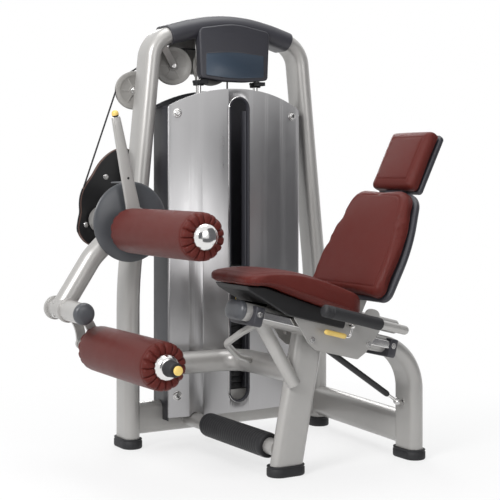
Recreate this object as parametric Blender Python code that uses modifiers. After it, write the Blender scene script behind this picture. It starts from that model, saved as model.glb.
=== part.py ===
"""Seated leg curl machine: a weight tower with a bulged steel shroud, a knee axis with its cam,
arm and rollers, and a seat carriage on inclined rails.

Metres, +Z up. The user sits at +X and faces -X. The origin is the centre of the machine's
footprint, on the floor. SEAT_Y is the seat's middle plane and TOWER_Y the tower's.
"""

import math

import bmesh
import bpy
from mathutils import Matrix, Vector

# Clearances
GAP = 0.0003
RUN = 0.0005

# Frame tube
TUBE_WIDE = 0.110
TUBE_THIN = 0.056
FOOT_MARGIN = 0.009
FOOT_HEIGHT = 0.034
FOOT_FLOOR = 0.022

# Tower arch
TOWER_X = 0.144
TOWER_Y = 0.374
ARCH_HALF = 0.386
ARCH_BEND_Z = 0.550
SHOULDER_HALF = 0.300
SHOULDER_Z = 1.402
CROWN_HALF = 0.170
CROWN_SIDE_RISE = 0.038
CROWN_SIDE_Z = SHOULDER_Z + CROWN_SIDE_RISE
CROWN_RISE = 0.036
CROWN_Z = CROWN_SIDE_Z + CROWN_RISE
CROWN_RADIUS = 0.600
SHOULDER_RADIUS = 0.095

# Low tubes
BASE_Z = 0.095
LINK_RADIUS = 0.038
LINK_Y = 0.241
LINK_Z = 0.293
STEP_X = -0.020
STEP_Z = 0.082
STEP_RADIUS = 0.026
STEP_PAD_RADIUS = 0.040
STEP_PAD_ENDS = (-0.190, 0.204)
LOOP_RADIUS = 0.011
BRACE_RADIUS = 0.021

# Seat beam, rails and legs
SEAT_Y = -0.250
BEAM_X = -0.172
BEAM_Z = 0.5217
BEAM_TILT = math.radians(14.45)
REAR_LEG_X = 0.485
REAR_BEND_RADIUS = 0.160
FRONT_LEG_X = 0.001
FRONT_LEG_LEAN = 0.196
RAIL_ENDS = (0.052, 0.540)
RAIL_TALL = 0.024
RAIL_THICK = 0.012
RAIL_OFF = 0.004
BRACKET_THICK = 0.018
BRACKET_LONG = 0.030

# Tower shroud and stack
SHROUD_HALF = 0.268
SHROUD_EDGE_Y = 0.303
SHROUD_BULGE = 0.024
SHEET = 0.004
SHROUD_LOW = 0.097
SHROUD_CORNER_Z = 1.170
SHROUD_TOP_Z = 1.236
COVER_BACK_Y = 0.424
SLOT_HALF = 0.0385
SLOT_LOW = 0.135
SLOT_HIGH = 1.204
STACK_Y = 0.362
ROD_OFF = 0.117
ROD_RADIUS = 0.010
ROD_HEAD_RADIUS = 0.015
ROD_STEP_Z = CROWN_SIDE_Z - 0.178
PLATE_WIDE = 0.350
PLATE_DEEP = 0.100
PLATE_PITCH = 0.0225
PLATE_GROOVE = 0.002
RESTING_PLATES = 14
LIFTED_PLATES = 4
STACK_FLOOR = 0.172
TOP_PLATE_TALL = 0.032
STEM_RADIUS = 0.011
PIN_RADIUS = 0.0045
STEM_TOP = 0.085

# Head
SLEEVE_WALL = 0.008
SLEEVE_HALF = 0.245
HEAD_HALF = 0.140
HEAD_FRONT_Y = 0.305
HEAD_DEEP = 0.034
HEAD_LOW = ROD_STEP_Z

# Knee axis
AXIS_OFF = 0.069
AXIS_X = TOWER_X - ARCH_HALF - AXIS_OFF
AXIS_Z = 0.778
HOUSING_RADIUS = 0.046
HOUSING_ENDS = (0.318, 0.448)
SHAFT_RADIUS = 0.020
DOME_RADIUS = 0.1326
DOME_FRONT = 0.196
DOME_BACK = 0.3184
DOME_WALL = 0.005
CAM_Y = 0.471
CAM_THICK = 0.018
CABLE_RADIUS = 0.003
CAM_EDGE = (
    (-150, 0.085), (-95, 0.095), (-45, 0.090), (0, 0.100), (30, 0.165), (48, 0.235), (58, 0.262),
    (68, 0.269), (76, 0.248), (86, 0.207), (98, 0.156), (115, 0.124), (153, 0.075), (180, 0.072),
    (210, 0.085), (265, 0.095), (315, 0.090),
)
CAM_POINTS = 32

# Movement arm and shin roller
ARM_Y = 0.252
ARM_RADIUS = 0.035
CROSSBAR_X = AXIS_X - 0.227
CROSSBAR_Z = AXIS_Z - 0.278
CROSSBAR_RADIUS = 0.033
CROSSBAR_ENDS = (0.074, 0.310)
SHIN_X = CROSSBAR_X + 0.092
SHIN_Z = CROSSBAR_Z - 0.123
SHIN_SHAFT_RADIUS = 0.016
SHIN_BOSS_RADIUS = 0.020
ROLLER_RADIUS = 0.0725
SHIN_ROLLER_ENDS = (-0.309, 0.176)
CHEEK_THICK = 0.010
CHEEK_NEAR_Y = 0.190
CHEEK_FAR_Y = 0.296
CHEEK_RING = 0.006

# Thigh roller and lever
THIGH_X = AXIS_X - 0.030
THIGH_Z = AXIS_Z - 0.026
THIGH_ROLLER_ENDS = (-0.350, 0.158)
LEVER_TIP = (AXIS_X - 0.071, AXIS_Z + 0.342)
LEVER_BACK = 0.178
LEVER_PLATE = 0.012

# Pulleys
PULLEY_RADIUS = 0.067
PULLEY_GROOVE = 0.0575
PULLEY_THICK = 0.026
PULLEY_OUTER_Z = CROWN_SIDE_Z - 0.211
PULLEY_OUTER_OFF = 0.00754
PULLEY_LEAN = (PULLEY_OUTER_Z - ARCH_BEND_Z) / (SHOULDER_Z - ARCH_BEND_Z)
PULLEY_OUTER_X = TOWER_X - ARCH_HALF + (ARCH_HALF - SHOULDER_HALF) * PULLEY_LEAN - PULLEY_OUTER_OFF
PULLEY_OUTER = (PULLEY_OUTER_X, 0.452, PULLEY_OUTER_Z)
PULLEY_UPPER_X = -0.048
PULLEY_UPPER_Z = CROWN_SIDE_Z - 0.122
CAM_TANGENT = (AXIS_X - 0.0535, CAM_Y, AXIS_Z + 0.1115)

# Seat
SEAT_REAR_HALF = 0.205
SEAT_FRONT_HALF = 0.140
SEAT_FRONT_X = -0.238
SEAT_REAR_X = 0.170
BACK_X = 0.205
BACK_Z = 0.560
BACK_TILT = math.radians(27.0)
BACK_LONG = 0.372
BACK_HALF = 0.200
BACK_TOP_HALF = 0.140
PAD_THICK = 0.044
PAD_FACE_INSET = 0.075
PAD_LEAST_RADIUS = 0.006
SHELL_THICK = 0.022
HEAD_REST_LOW = 0.384
HEAD_REST_LONG = 0.212
HEAD_REST_HALF = 0.108
HEAD_REST_BACK = 0.022
SPINE_WIDE = 0.060
SPINE_DEEP = 0.024
HANDLE_OFF = 0.245
HANDLE_RISE = 0.050
HANDLE_RADIUS = 0.014
CROSS_RADIUS = 0.0135
GRIP_RADIUS = 0.019
GRIP_ENDS = (0.137, 0.355)
HANDLE_END = 0.4615
HANDLE_CROSS_U = 0.385
PLATE_OFF = 0.081
CARRIAGE_PLATE = 0.006
TAIL_RADIUS = 0.0225
TAIL_RISE = 0.0635
TAIL_ENDS = (0.350, 0.600)

# Gas strut
STRUT_TOP = (0.0963, -0.312, 0.4009)
STRUT_FOOT = (0.440, -0.250, 0.185)
STRUT_RADIUS = 0.010
STRUT_ROD_RADIUS = 0.005
STRUT_BODY_LONG = 0.352
BALL_RADIUS = 0.008

X = Vector((1, 0, 0))
Y = Vector((0, 1, 0))
Z = Vector((0, 0, 1))


# ---------------------------------------------------------------- scene and materials

def clear_scene():
    for obj in list(bpy.data.objects):
        bpy.data.objects.remove(obj, do_unlink=True)


def make_collection(name, hidden=False):
    made = bpy.data.collections.new(name)
    bpy.context.scene.collection.children.link(made)
    made.hide_render = hidden
    return made


def make_material(name, colour, roughness, metallic=0.0):
    made = bpy.data.materials.new(name)
    made.use_nodes = True
    shader = made.node_tree.nodes["Principled BSDF"]
    shader.inputs["Base Color"].default_value = (*colour, 1.0)
    shader.inputs["Roughness"].default_value = roughness
    shader.inputs["Metallic"].default_value = metallic
    made.diffuse_color = (*colour, 1.0)
    return made


clear_scene()
PARTS = make_collection("Parts")
CUTTERS = make_collection("Cutters", hidden=True)

PAINT = make_material("frame_paint", (0.50, 0.48, 0.45), 0.42, 0.35)
STEEL = make_material("brushed_steel", (0.46, 0.45, 0.44), 0.32, 1.0)
CHROME = make_material("chrome", (0.75, 0.75, 0.75), 0.12, 1.0)
PLASTIC = make_material("dark_plastic", (0.045, 0.047, 0.055), 0.45)
RUBBER = make_material("rubber", (0.022, 0.022, 0.024), 0.75)
LEATHER = make_material("red_leather", (0.135, 0.022, 0.018), 0.48)
YELLOW = make_material("yellow_plastic", (0.80, 0.55, 0.12), 0.45)
IRON = make_material("black_iron", (0.025, 0.025, 0.027), 0.55, 0.3)
GREY = make_material("grey_plastic", (0.16, 0.16, 0.165), 0.5)
BARE = make_material("placard_blue", (0.035, 0.065, 0.10), 0.4)


# ---------------------------------------------------------------- outlines and paths

def arc(centre, radius, start, end, steps):
    """Points of an arc in a plane, from the start angle to the end angle in degrees."""
    points = []
    for k in range(steps + 1):
        angle = math.radians(start + (end - start) * k / steps)
        points.append((centre[0] + radius * math.cos(angle), centre[1] + radius * math.sin(angle)))
    return points


def circle(radius, steps):
    return arc((0, 0), radius, 0, 360 - 360 / steps, steps - 1)


def stadium(wide, thin, steps=6):
    """A flat oval: two half circles joined by flats, long along the first axis."""
    reach = (wide - thin) / 2
    return arc((reach, 0), thin / 2, -90, 90, steps) + arc((-reach, 0), thin / 2, 90, 270, steps)


def rounded_outline(corners, radii, steps=4):
    """A polygon with each corner rounded by its own radius."""
    outline = []
    count = len(corners)
    for k, (corner, radius) in enumerate(zip(corners, radii)):
        here = Vector(corner)
        back = (Vector(corners[k - 1]) - here).normalized()
        on = (Vector(corners[(k + 1) % count]) - here).normalized()
        if radius <= 0:
            outline.append(tuple(here))
            continue
        half = back.angle(on) / 2
        centre = here + (back + on).normalized() * (radius / math.sin(half))
        first = here + back * (radius / math.tan(half)) - centre
        last = here + on * (radius / math.tan(half)) - centre
        for n in range(steps + 1):
            outline.append(tuple(centre + first.slerp(last, n / steps) * radius))
    return outline


def rounded_path(points, radii, turn=math.radians(14)):
    """A path in space with each inner corner rounded by its own radius."""
    points = [Vector(p) for p in points]
    path = [points[0]]
    for k, radius in enumerate(radii, start=1):
        into = (points[k] - points[k - 1]).normalized()
        out = (points[k + 1] - points[k]).normalized()
        angle = into.angle(out)
        side = (out - into * into.dot(out)).normalized()
        start = points[k] - into * (radius * math.tan(angle / 2))
        steps = max(2, math.ceil(angle / turn))
        for n in range(steps + 1):
            a = angle * n / steps
            path.append(start + into * (radius * math.sin(a)) + side * (radius * (1 - math.cos(a))))
    path.append(points[-1])
    return path


# ---------------------------------------------------------------- solids

def finish(name, bm, material, hidden=False, smooth=math.radians(40)):
    """Turns a bmesh into an object in its collection, facing out."""
    bmesh.ops.remove_doubles(bm, verts=bm.verts, dist=1e-6)
    bmesh.ops.recalc_face_normals(bm, faces=bm.faces)
    mesh = bpy.data.meshes.new(name)
    bm.to_mesh(mesh)
    bm.free()
    mesh.polygons.foreach_set("use_smooth", [True] * len(mesh.polygons))
    mesh.set_sharp_from_angle(angle=smooth)
    obj = bpy.data.objects.new(name, mesh)
    (CUTTERS if hidden else PARTS).objects.link(obj)
    if hidden:
        obj.hide_render = True
        obj.display_type = "WIRE"
    if material:
        mesh.materials.append(material)
    return obj


def skin(bm, rings, closed=False):
    """Joins equal rings of points with faces, and closes both ends."""
    made = [[bm.verts.new(p) for p in ring] for ring in rings]
    pairs = list(zip(made, made[1:]))
    if closed:
        pairs.append((made[-1], made[0]))
    for low, high in pairs:
        for k in range(len(low)):
            n = (k + 1) % len(low)
            bm.faces.new((low[k], low[n], high[n], high[k]))
    if not closed:
        bm.faces.new(list(reversed(made[0])))
        bm.faces.new(made[-1])
    return made


def sweep(bm, outline, path, side, grow=0.0):
    """Carries an outline along a path. side is the outline's first axis at the start."""
    path = [Vector(p) for p in path]
    path[0] = path[0] + (path[0] - path[1]).normalized() * grow
    path[-1] = path[-1] + (path[-1] - path[-2]).normalized() * grow
    first = Vector(side)
    rings = []
    for k, point in enumerate(path):
        ahead = path[min(k + 1, len(path) - 1)] - point
        behind = point - path[max(k - 1, 0)]
        along = (ahead.normalized() + behind.normalized()).normalized()
        first = (first - along * first.dot(along)).normalized()
        second = along.cross(first)
        rings.append([point + first * a + second * b for a, b in outline])
    skin(bm, rings)


def oval_tube(name, path, side, grow=0.0, hidden=False, wide=TUBE_WIDE, thin=TUBE_THIN):
    bm = bmesh.new()
    sweep(bm, stadium(wide + 2 * grow, thin + 2 * grow), path, side, grow)
    return finish(name, bm, PAINT, hidden)


def round_tube(name, path, radius, side, material=PAINT, grow=0.0, hidden=False, steps=20):
    bm = bmesh.new()
    sweep(bm, circle(radius + grow, steps), path, side, grow)
    return finish(name, bm, material, hidden)


def rod(name, start, end, radius, material=None, hidden=True, steps=20):
    """A straight round bar between two points."""
    along = Vector(end) - Vector(start)
    side = X if abs(along.normalized().dot(X)) < 0.9 else Z
    return round_tube(name, [start, end], radius, side, material, 0.0, hidden, steps)


def prism(name, outline, low, high, plane, material=None, hidden=True):
    """An outline in the XY, XZ or YZ plane, given thickness along the third axis."""
    place = {
        "XY": lambda a, b, d: (a, b, d),
        "XZ": lambda a, b, d: (a, d, b),
        "YZ": lambda a, b, d: (d, a, b),
    }[plane]
    bm = bmesh.new()
    skin(bm, [[place(a, b, low) for a, b in outline], [place(a, b, high) for a, b in outline]])
    return finish(name, bm, material, hidden)


def box(name, low, high, material=None, hidden=True):
    corners = [(low[0], low[1]), (high[0], low[1]), (high[0], high[1]), (low[0], high[1])]
    return prism(name, corners, low[2], high[2], "XY", material, hidden)


def lathe(name, profile, start, axis, material=None, hidden=True, steps=32):
    """Turns a profile of (distance along the axis, radius) about an axis."""
    axis = Vector(axis).normalized()
    first = (Z if abs(axis.z) < 0.9 else X).cross(axis).normalized()
    second = axis.cross(first)
    bm = bmesh.new()
    rings = []
    for along, radius in profile:
        centre = Vector(start) + axis * along
        rings.append([
            centre + (first * math.cos(a) + second * math.sin(a)) * max(radius, 1e-7)
            for a in (math.tau * k / steps for k in range(steps))
        ])
    ring_shape = profile[0] == profile[-1]
    if ring_shape:
        skin(bm, rings[:-1], closed=True)
    else:
        skin(bm, rings)
        bmesh.ops.remove_doubles(bm, verts=bm.verts, dist=1e-6)
    return finish(name, bm, material, hidden)


def boolean(obj, other, operation):
    modifier = obj.modifiers.new(operation.lower(), "BOOLEAN")
    modifier.operation = operation
    modifier.object = other
    modifier.solver = "EXACT"
    return obj


def cut(obj, *others):
    for other in others:
        boolean(obj, other, "DIFFERENCE")
    return obj


def weld(obj, *others):
    for other in others:
        boolean(obj, other, "UNION")
    return obj


def bevel(obj, width, segments=2, angle=math.radians(35)):
    modifier = obj.modifiers.new("bevel", "BEVEL")
    modifier.width = width
    modifier.segments = segments
    modifier.limit_method = "ANGLE"
    modifier.angle_limit = angle
    return obj


def on_beam(*objects):
    """Places objects that are drawn in the beam's own frame: U down the slope, V up from it."""
    for obj in objects:
        obj.location = (BEAM_X, 0, BEAM_Z)
        obj.rotation_euler = (0, BEAM_TILT, 0)


def beam_point(u, y, v):
    turn = Matrix.Rotation(BEAM_TILT, 4, "Y")
    return Vector((BEAM_X, 0, BEAM_Z)) + turn @ Vector((u, y, v))


def on_back(*objects):
    """Places objects drawn in the back's frame: X is out behind it and Z runs up it."""
    for obj in objects:
        obj.location = (BACK_X, 0, BACK_Z)
        obj.rotation_euler = (0, BACK_TILT, 0)


# ---------------------------------------------------------------- frame tubes

def arch_path():
    left = [
        (TOWER_X - ARCH_HALF, TOWER_Y, FOOT_FLOOR),
        (TOWER_X - ARCH_HALF, TOWER_Y, ARCH_BEND_Z),
        (TOWER_X - SHOULDER_HALF, TOWER_Y, SHOULDER_Z),
        (TOWER_X - CROWN_HALF, TOWER_Y, CROWN_SIDE_Z),
        (TOWER_X, TOWER_Y, CROWN_Z),
    ]
    right = [(2 * TOWER_X - x, y, z) for x, y, z in reversed(left[:-1])]
    radii = (1.6, SHOULDER_RADIUS, 0.5, CROWN_RADIUS, 0.5, SHOULDER_RADIUS, 1.6)
    return rounded_path(left + right, radii)


def beam_path():
    drop = math.tan(BEAM_TILT) * (REAR_LEG_X - BEAM_X)
    points = [
        (BEAM_X, SEAT_Y, BEAM_Z),
        (REAR_LEG_X, SEAT_Y, BEAM_Z - drop),
        (REAR_LEG_X, SEAT_Y, FOOT_FLOOR),
    ]
    return rounded_path(points, (REAR_BEND_RADIUS,), math.radians(12))


def front_leg_path():
    top = 0.440
    return [
        (FRONT_LEG_X, SEAT_Y, FOOT_FLOOR),
        (FRONT_LEG_X + FRONT_LEG_LEAN * (top - FOOT_FLOOR), SEAT_Y, top),
    ]


def base_beam_path():
    reach = ARCH_HALF - TUBE_THIN / 2 - GAP
    return [(TOWER_X - reach, TOWER_Y, BASE_Z), (TOWER_X + reach, TOWER_Y, BASE_Z)]


def link_path():
    points = [
        (TOWER_X - ARCH_HALF, 0.335, LINK_Z),
        (TOWER_X - ARCH_HALF, LINK_Y, LINK_Z),
        (0.125, LINK_Y, LINK_Z - 0.002),
        (0.040, SEAT_Y + 0.015, 0.318),
    ]
    return rounded_path(points, (0.070, 0.085), math.radians(18))


def seat_beam():
    beam = oval_tube("seat_beam", beam_path(), Y)
    foot = Vector(STRUT_FOOT)
    stud = rod("strut_stud", foot, (REAR_LEG_X - 0.022, SEAT_Y, STRUT_FOOT[2]), 0.0045, steps=12)
    ball = ball_at("strut_ball", foot, BALL_RADIUS)
    return weld(beam, stud, ball)


def ball_at(name, centre, radius, rings=6):
    profile = [(-radius * math.cos(math.pi * k / rings), radius * math.sin(math.pi * k / rings))
               for k in range(rings + 1)]
    return lathe(name, profile, centre, X, steps=14)


def frame_tubes():
    arch = oval_tube("arch_frame", arch_path(), Y)
    arch_cut = oval_tube("arch_cut", arch_path(), Y, GAP, hidden=True)
    base = oval_tube("base_beam", base_beam_path(), Z)
    half = PLATE_WIDE / 2
    deep = PLATE_DEEP / 2
    platform = box("platform", (TOWER_X - half, STACK_Y - deep, BASE_Z + TUBE_WIDE / 2 - 0.005),
                   (TOWER_X + half, STACK_Y + deep, STACK_FLOOR - GAP))
    weld(base, platform)
    base_cut = oval_tube("base_cut", base_beam_path(), Z, GAP, hidden=True)

    beam = seat_beam()
    beam_cut = oval_tube("beam_cut", beam_path(), Y, GAP, hidden=True)
    leg = oval_tube("front_leg", front_leg_path(), X)
    leg_cut = oval_tube("leg_cut", front_leg_path(), X, GAP, hidden=True)
    cut(leg, beam_cut)

    rear = oval_tube("rear_base_tube", [
        (TOWER_X + ARCH_HALF, TOWER_Y - TUBE_WIDE / 2 + 0.022, BASE_Z),
        (REAR_LEG_X, SEAT_Y + TUBE_WIDE / 2 - 0.022, BASE_Z),
    ], Z)
    cut(rear, arch_cut, beam_cut)

    link = round_tube("link_tube", link_path(), LINK_RADIUS, X, steps=16)
    link_cut = round_tube("link_cut", link_path(), LINK_RADIUS, X, grow=GAP, hidden=True, steps=16)
    cut(link, arch_cut, leg_cut)

    step_line = [(STEP_X, TOWER_Y - 0.012, STEP_Z), (STEP_X, SEAT_Y + 0.012, STEP_Z)]
    step = round_tube("step_tube", step_line, STEP_RADIUS, X, steps=16)
    cut(step, base_cut, leg_cut)

    brace = round_tube("brace_tube", [
        (-0.108, SEAT_Y - 0.012, 0.497),
        (0.012, SEAT_Y - 0.032, 0.285),
    ], BRACE_RADIUS, Y)
    cut(brace, beam_cut, leg_cut)

    loop = round_tube("loop_handle", rounded_path([
        (-0.070, SEAT_Y + 0.020, 0.482),
        (-0.100, -0.150, 0.438),
        (-0.098, -0.050, 0.392),
        (-0.020, 0.010, 0.340),
        (0.088, 0.068, 0.305),
    ], (0.040, 0.045, 0.060)), LOOP_RADIUS, Z, steps=10)
    cut(loop, beam_cut, link_cut)
    feet((arch_cut, arch_cut, leg_cut, beam_cut))
    return arch, arch_cut, beam


def feet(tubes):
    """Rubber cups, each with the socket that its tube stands in."""
    wide = TUBE_WIDE + 2 * FOOT_MARGIN
    thin = TUBE_THIN + 2 * FOOT_MARGIN
    along_x = stadium(wide, thin, 6)
    along_y = [(-b, a) for a, b in along_x]
    spots = (
        ("foot_tower_left", TOWER_X - ARCH_HALF, TOWER_Y, along_y),
        ("foot_tower_right", TOWER_X + ARCH_HALF, TOWER_Y, along_y),
        ("foot_seat_front", FRONT_LEG_X, SEAT_Y, along_x),
        ("foot_seat_rear", REAR_LEG_X, SEAT_Y, along_y),
    )
    for (name, x, y, outline), tube in zip(spots, tubes):
        moved = [(x + a, y + b) for a, b in outline]
        foot = prism(name, moved, 0.0, FOOT_HEIGHT, "XY", RUBBER, hidden=False)
        bevel(foot, 0.004, 1)
        cut(foot, tube)


def step_pad():
    inner = STEP_RADIUS + GAP
    low, high = STEP_PAD_ENDS
    long = high - low
    profile = [
        (0, inner), (0, STEP_PAD_RADIUS - 0.006), (0.004, STEP_PAD_RADIUS - 0.001),
        (0.012, STEP_PAD_RADIUS), (long - 0.012, STEP_PAD_RADIUS),
        (long - 0.004, STEP_PAD_RADIUS - 0.001), (long, STEP_PAD_RADIUS - 0.006),
        (long, inner), (0, inner),
    ]
    lathe("step_pad", profile, (STEP_X, low, STEP_Z), Y, RUBBER, hidden=False, steps=16)


def domed_end(name, outline, centre, out, first, rise, material):
    """A shallow domed cap over the end of a tube with this outline."""
    out = Vector(out).normalized()
    first = Vector(first)
    second = out.cross(first)
    bm = bmesh.new()
    rings = []
    for along, share in ((0, 1.0), (0.35, 1.0), (0.62, 0.95), (0.86, 0.78), (0.97, 0.5), (1.0, 0.2)):
        base = Vector(centre) + out * (rise * along)
        rings.append([base + (first * a + second * b) * share for a, b in outline])
    skin(bm, rings)
    return finish(name, bm, material)


def beam_end_cap():
    out = beam_point(-1, 0, 0) - beam_point(0, 0, 0)
    centre = beam_point(-GAP, SEAT_Y, 0)
    domed_end("beam_end_cap", stadium(TUBE_WIDE, TUBE_THIN + 0.004), centre, out, Y, 0.022, GREY)


# ---------------------------------------------------------------- rails and carriage

def rails():
    side = TUBE_WIDE / 2 + RAIL_OFF
    for name, sign in (("rail_near", -1), ("rail_far", 1)):
        edges = sorted((SEAT_Y + sign * side, SEAT_Y + sign * (side + RAIL_THICK)))
        rail = box(name, (RAIL_ENDS[0], edges[0], -RAIL_TALL / 2),
                   (RAIL_ENDS[1], edges[1], RAIL_TALL / 2), CHROME, hidden=False)
        bevel(rail, 0.0025)
        on_beam(rail)


def rail_brackets(beam):
    """A yoke round the beam at each end of the rails, with a rounded cheek at each side."""
    outer = TUBE_WIDE / 2 + BRACKET_THICK
    low = -TUBE_THIN / 2 - 0.010
    outline = rounded_outline([
        (SEAT_Y - outer, low), (SEAT_Y + outer, low), (SEAT_Y + outer, 0.022), (SEAT_Y - outer, 0.022),
    ], (0.012, 0.012, 0.004, 0.004))
    for name, u in (("yoke_front", RAIL_ENDS[0] - GAP - BRACKET_LONG), ("yoke_rear", RAIL_ENDS[1] + GAP)):
        yoke = prism(name, outline, u, u + BRACKET_LONG, "YZ")
        bevel(yoke, 0.003, 1)
        on_beam(yoke)
        weld(beam, yoke)


def carriage_outline():
    corners = [
        (0.155, 0.052), (0.150, 0.014), (0.222, -0.052), (0.252, -0.067),
        (0.414, -0.067), (0.441, -0.040), (0.478, 0.035), (0.462, 0.098), (0.415, 0.098), (0.400, 0.048),
    ]
    return rounded_outline(corners, (0.006, 0.010, 0.012, 0.012, 0.012, 0.012, 0.012, 0.022, 0.022, 0.006), 3)


def carriage():
    plates = []
    for sign in (-1, 1):
        edges = sorted((SEAT_Y + sign * PLATE_OFF, SEAT_Y + sign * (PLATE_OFF + CARRIAGE_PLATE)))
        name = "carriage" if sign < 0 else "carriage_far_plate"
        plates.append(prism(name, carriage_outline(), *edges, "XZ", PAINT, hidden=sign > 0))
    near, far = plates
    reach = PLATE_OFF + 0.002
    low = TUBE_THIN / 2 + 0.006
    bridges = [
        box("bridge_front", (0.175, SEAT_Y - reach, low), (0.215, SEAT_Y + reach, 0.048)),
        box("bridge_rear", (0.405, SEAT_Y - reach, low), (0.455, SEAT_Y + reach, 0.070)),
    ]
    for k, u in enumerate((0.185, 0.445)):
        for row, v in enumerate((1, -1)):
            rise = v * (RAIL_TALL / 2 + 0.013 + RUN)
            for sign in (-1, 1):
                inner = SEAT_Y + sign * (TUBE_WIDE / 2 + RAIL_OFF + 0.002)
                outer = SEAT_Y + sign * (PLATE_OFF + 0.002)
                shift = 0.055 if (k == 0 and v < 0) else -0.030 if (k == 1 and v < 0) else 0.0
                bridges.append(rod(f"wheel_{k}{row}{sign}", (u + shift, inner, rise),
                                   (u + shift, outer, rise), 0.013, steps=10))
    tail = rod("carriage_tail", (TAIL_ENDS[0], SEAT_Y, TAIL_RISE), (TAIL_ENDS[1], SEAT_Y, TAIL_RISE),
               TAIL_RADIUS, steps=20)
    weld(near, far, tail, *bridges)
    on_beam(near, far, tail, *bridges)
    spine_low = PAD_THICK + SHELL_THICK + GAP
    spine = box("spine", (spine_low, SEAT_Y - SPINE_WIDE / 2, -0.055),
                (spine_low + SPINE_DEEP, SEAT_Y + SPINE_WIDE / 2, HEAD_REST_LOW + 0.060))
    on_back(spine)
    weld(near, spine)
    cross = rod("handle_hole", (HANDLE_CROSS_U, SEAT_Y - 0.2, HANDLE_RISE),
                (HANDLE_CROSS_U, SEAT_Y + 0.2, HANDLE_RISE), CROSS_RADIUS + GAP, steps=16)
    shell_room = box("shell_room", (-0.02, SEAT_Y - 0.3, -0.02), (spine_low, SEAT_Y + 0.3, 0.7))
    on_beam(cross)
    on_back(shell_room)
    cut(near, cross, shell_room)


def seat_pan():
    """The black pan under the cushion, with a skirt over each carriage plate."""
    outline = rounded_outline([
        (-0.030, 0.060), (0.120, 0.016), (0.335, 0.016), (0.335, 0.0556), (0.180, 0.0700),
        (0.106, 0.0763), (0.021, 0.0828), (-0.045, 0.0725),
    ], (0.010, 0.010, 0.008, 0, 0, 0, 0, 0))
    half = PLATE_OFF + CARRIAGE_PLATE + 0.010
    pan = prism("seat_pan", outline, SEAT_Y - half, SEAT_Y + half, "XZ", IRON, hidden=False)
    bevel(pan, 0.003, 1)
    inner = PLATE_OFF + CARRIAGE_PLATE + GAP
    room = box("pan_room", (0.055, SEAT_Y - inner, -0.01), (0.4, SEAT_Y + inner, 0.0525))
    cut(pan, room)
    on_beam(pan, room)


def handles():
    bar = None
    pieces = []
    for name, sign in (("handle_bar", -1), ("handle_far", 1)):
        y = SEAT_Y + sign * HANDLE_OFF
        profile = [(0, 0), (0, HANDLE_RADIUS)]
        long = HANDLE_END - GRIP_ENDS[0] - 0.005
        for k in range(5):
            a = math.pi / 2 * k / 4
            profile.append((long - HANDLE_RADIUS * (1 - math.sin(a)), HANDLE_RADIUS * math.cos(a)))
        tube = lathe(name, profile, (GRIP_ENDS[0] + 0.005, y, HANDLE_RISE), X, PAINT,
                     hidden=sign > 0, steps=16)
        pieces.append(tube)
        bar = bar or tube
    cross = rod("handle_cross", (HANDLE_CROSS_U, SEAT_Y - HANDLE_OFF, HANDLE_RISE),
                (HANDLE_CROSS_U, SEAT_Y + HANDLE_OFF, HANDLE_RISE), CROSS_RADIUS, steps=16)
    pieces.append(cross)
    weld(bar, *pieces[1:])
    on_beam(*pieces)
    for name, sign in (("grip_near", -1), ("grip_far", 1)):
        long = GRIP_ENDS[1] - GRIP_ENDS[0]
        inner = HANDLE_RADIUS + GAP
        profile = [
            (0, 0), (0, GRIP_RADIUS - 0.007), (0.002, GRIP_RADIUS - 0.002), (0.007, GRIP_RADIUS),
            (long - 0.004, GRIP_RADIUS), (long, GRIP_RADIUS - 0.003), (long, inner),
            (0.005 - GAP, inner), (0.005 - GAP, 0),
        ]
        grip = lathe(name, profile, (GRIP_ENDS[0], SEAT_Y + sign * HANDLE_OFF, HANDLE_RISE), X,
                     RUBBER, hidden=False, steps=16)
        on_beam(grip)


def lock_lever():
    y = SEAT_Y - PLATE_OFF - CARRIAGE_PLATE - 0.022
    top, low, pivot = 0.030, -0.006, 0.352
    corners = [(pivot, y, top + 0.004), (pivot, y, low), (0.322, y, low)]
    line = rounded_path(corners, (0.010,), math.radians(23))
    lever = round_tube("lock_lever", line, 0.004, Y, CHROME, steps=10)
    boss = rod("lever_boss", (pivot, y - 0.006, top), (pivot, y + 0.022 - GAP, top), 0.007, steps=14)
    weld(lever, boss)
    grip = prism("lever_grip", [(0.296 + a, low + b) for a, b in stadium(0.086, 0.017, 6)],
                 y - 0.007, y + 0.007, "XZ", YELLOW, hidden=False)
    bevel(grip, 0.004, 1)
    end_room = rod("lever_end", (0.318, y, low), (0.345, y, low), 0.004 + GAP, steps=10)
    cut(grip, end_room)
    on_beam(lever, boss, grip, end_room)


def strut():
    top = Vector(STRUT_TOP)
    foot = Vector(STRUT_FOOT)
    along = (foot - top).normalized()
    bore = STRUT_ROD_RADIUS + GAP
    profile = [
        (-0.012, 0), (-0.012, 0.006), (-0.008, STRUT_RADIUS), (STRUT_BODY_LONG - 0.003, STRUT_RADIUS),
        (STRUT_BODY_LONG, STRUT_RADIUS - 0.003), (STRUT_BODY_LONG, bore), (0.020, bore), (0.020, 0),
    ]
    body = lathe("strut_cylinder", profile, top, along, IRON, hidden=False, steps=14)
    stud = rod("strut_pin", top, (top.x, SEAT_Y - PLATE_OFF + 2 * GAP, top.z), 0.006, steps=12)
    weld(body, stud)
    rod_obj = round_tube("strut_rod", [top + along * 0.085, foot - along * 0.005], STRUT_ROD_RADIUS,
                         Y, CHROME, steps=14)
    socket = rod("strut_socket", foot - along * 0.014, foot + along * 0.011, 0.0115, steps=18)
    weld(rod_obj, socket)
    pocket = ball_at("strut_pocket", foot, BALL_RADIUS + GAP, 8)
    mouth = lathe("strut_mouth", [(0, 0), (0, 0.0068), (0.03, 0.010), (0.03, 0)], foot, X, steps=16)
    cut(rod_obj, pocket, mouth)


# ---------------------------------------------------------------- cushions

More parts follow.
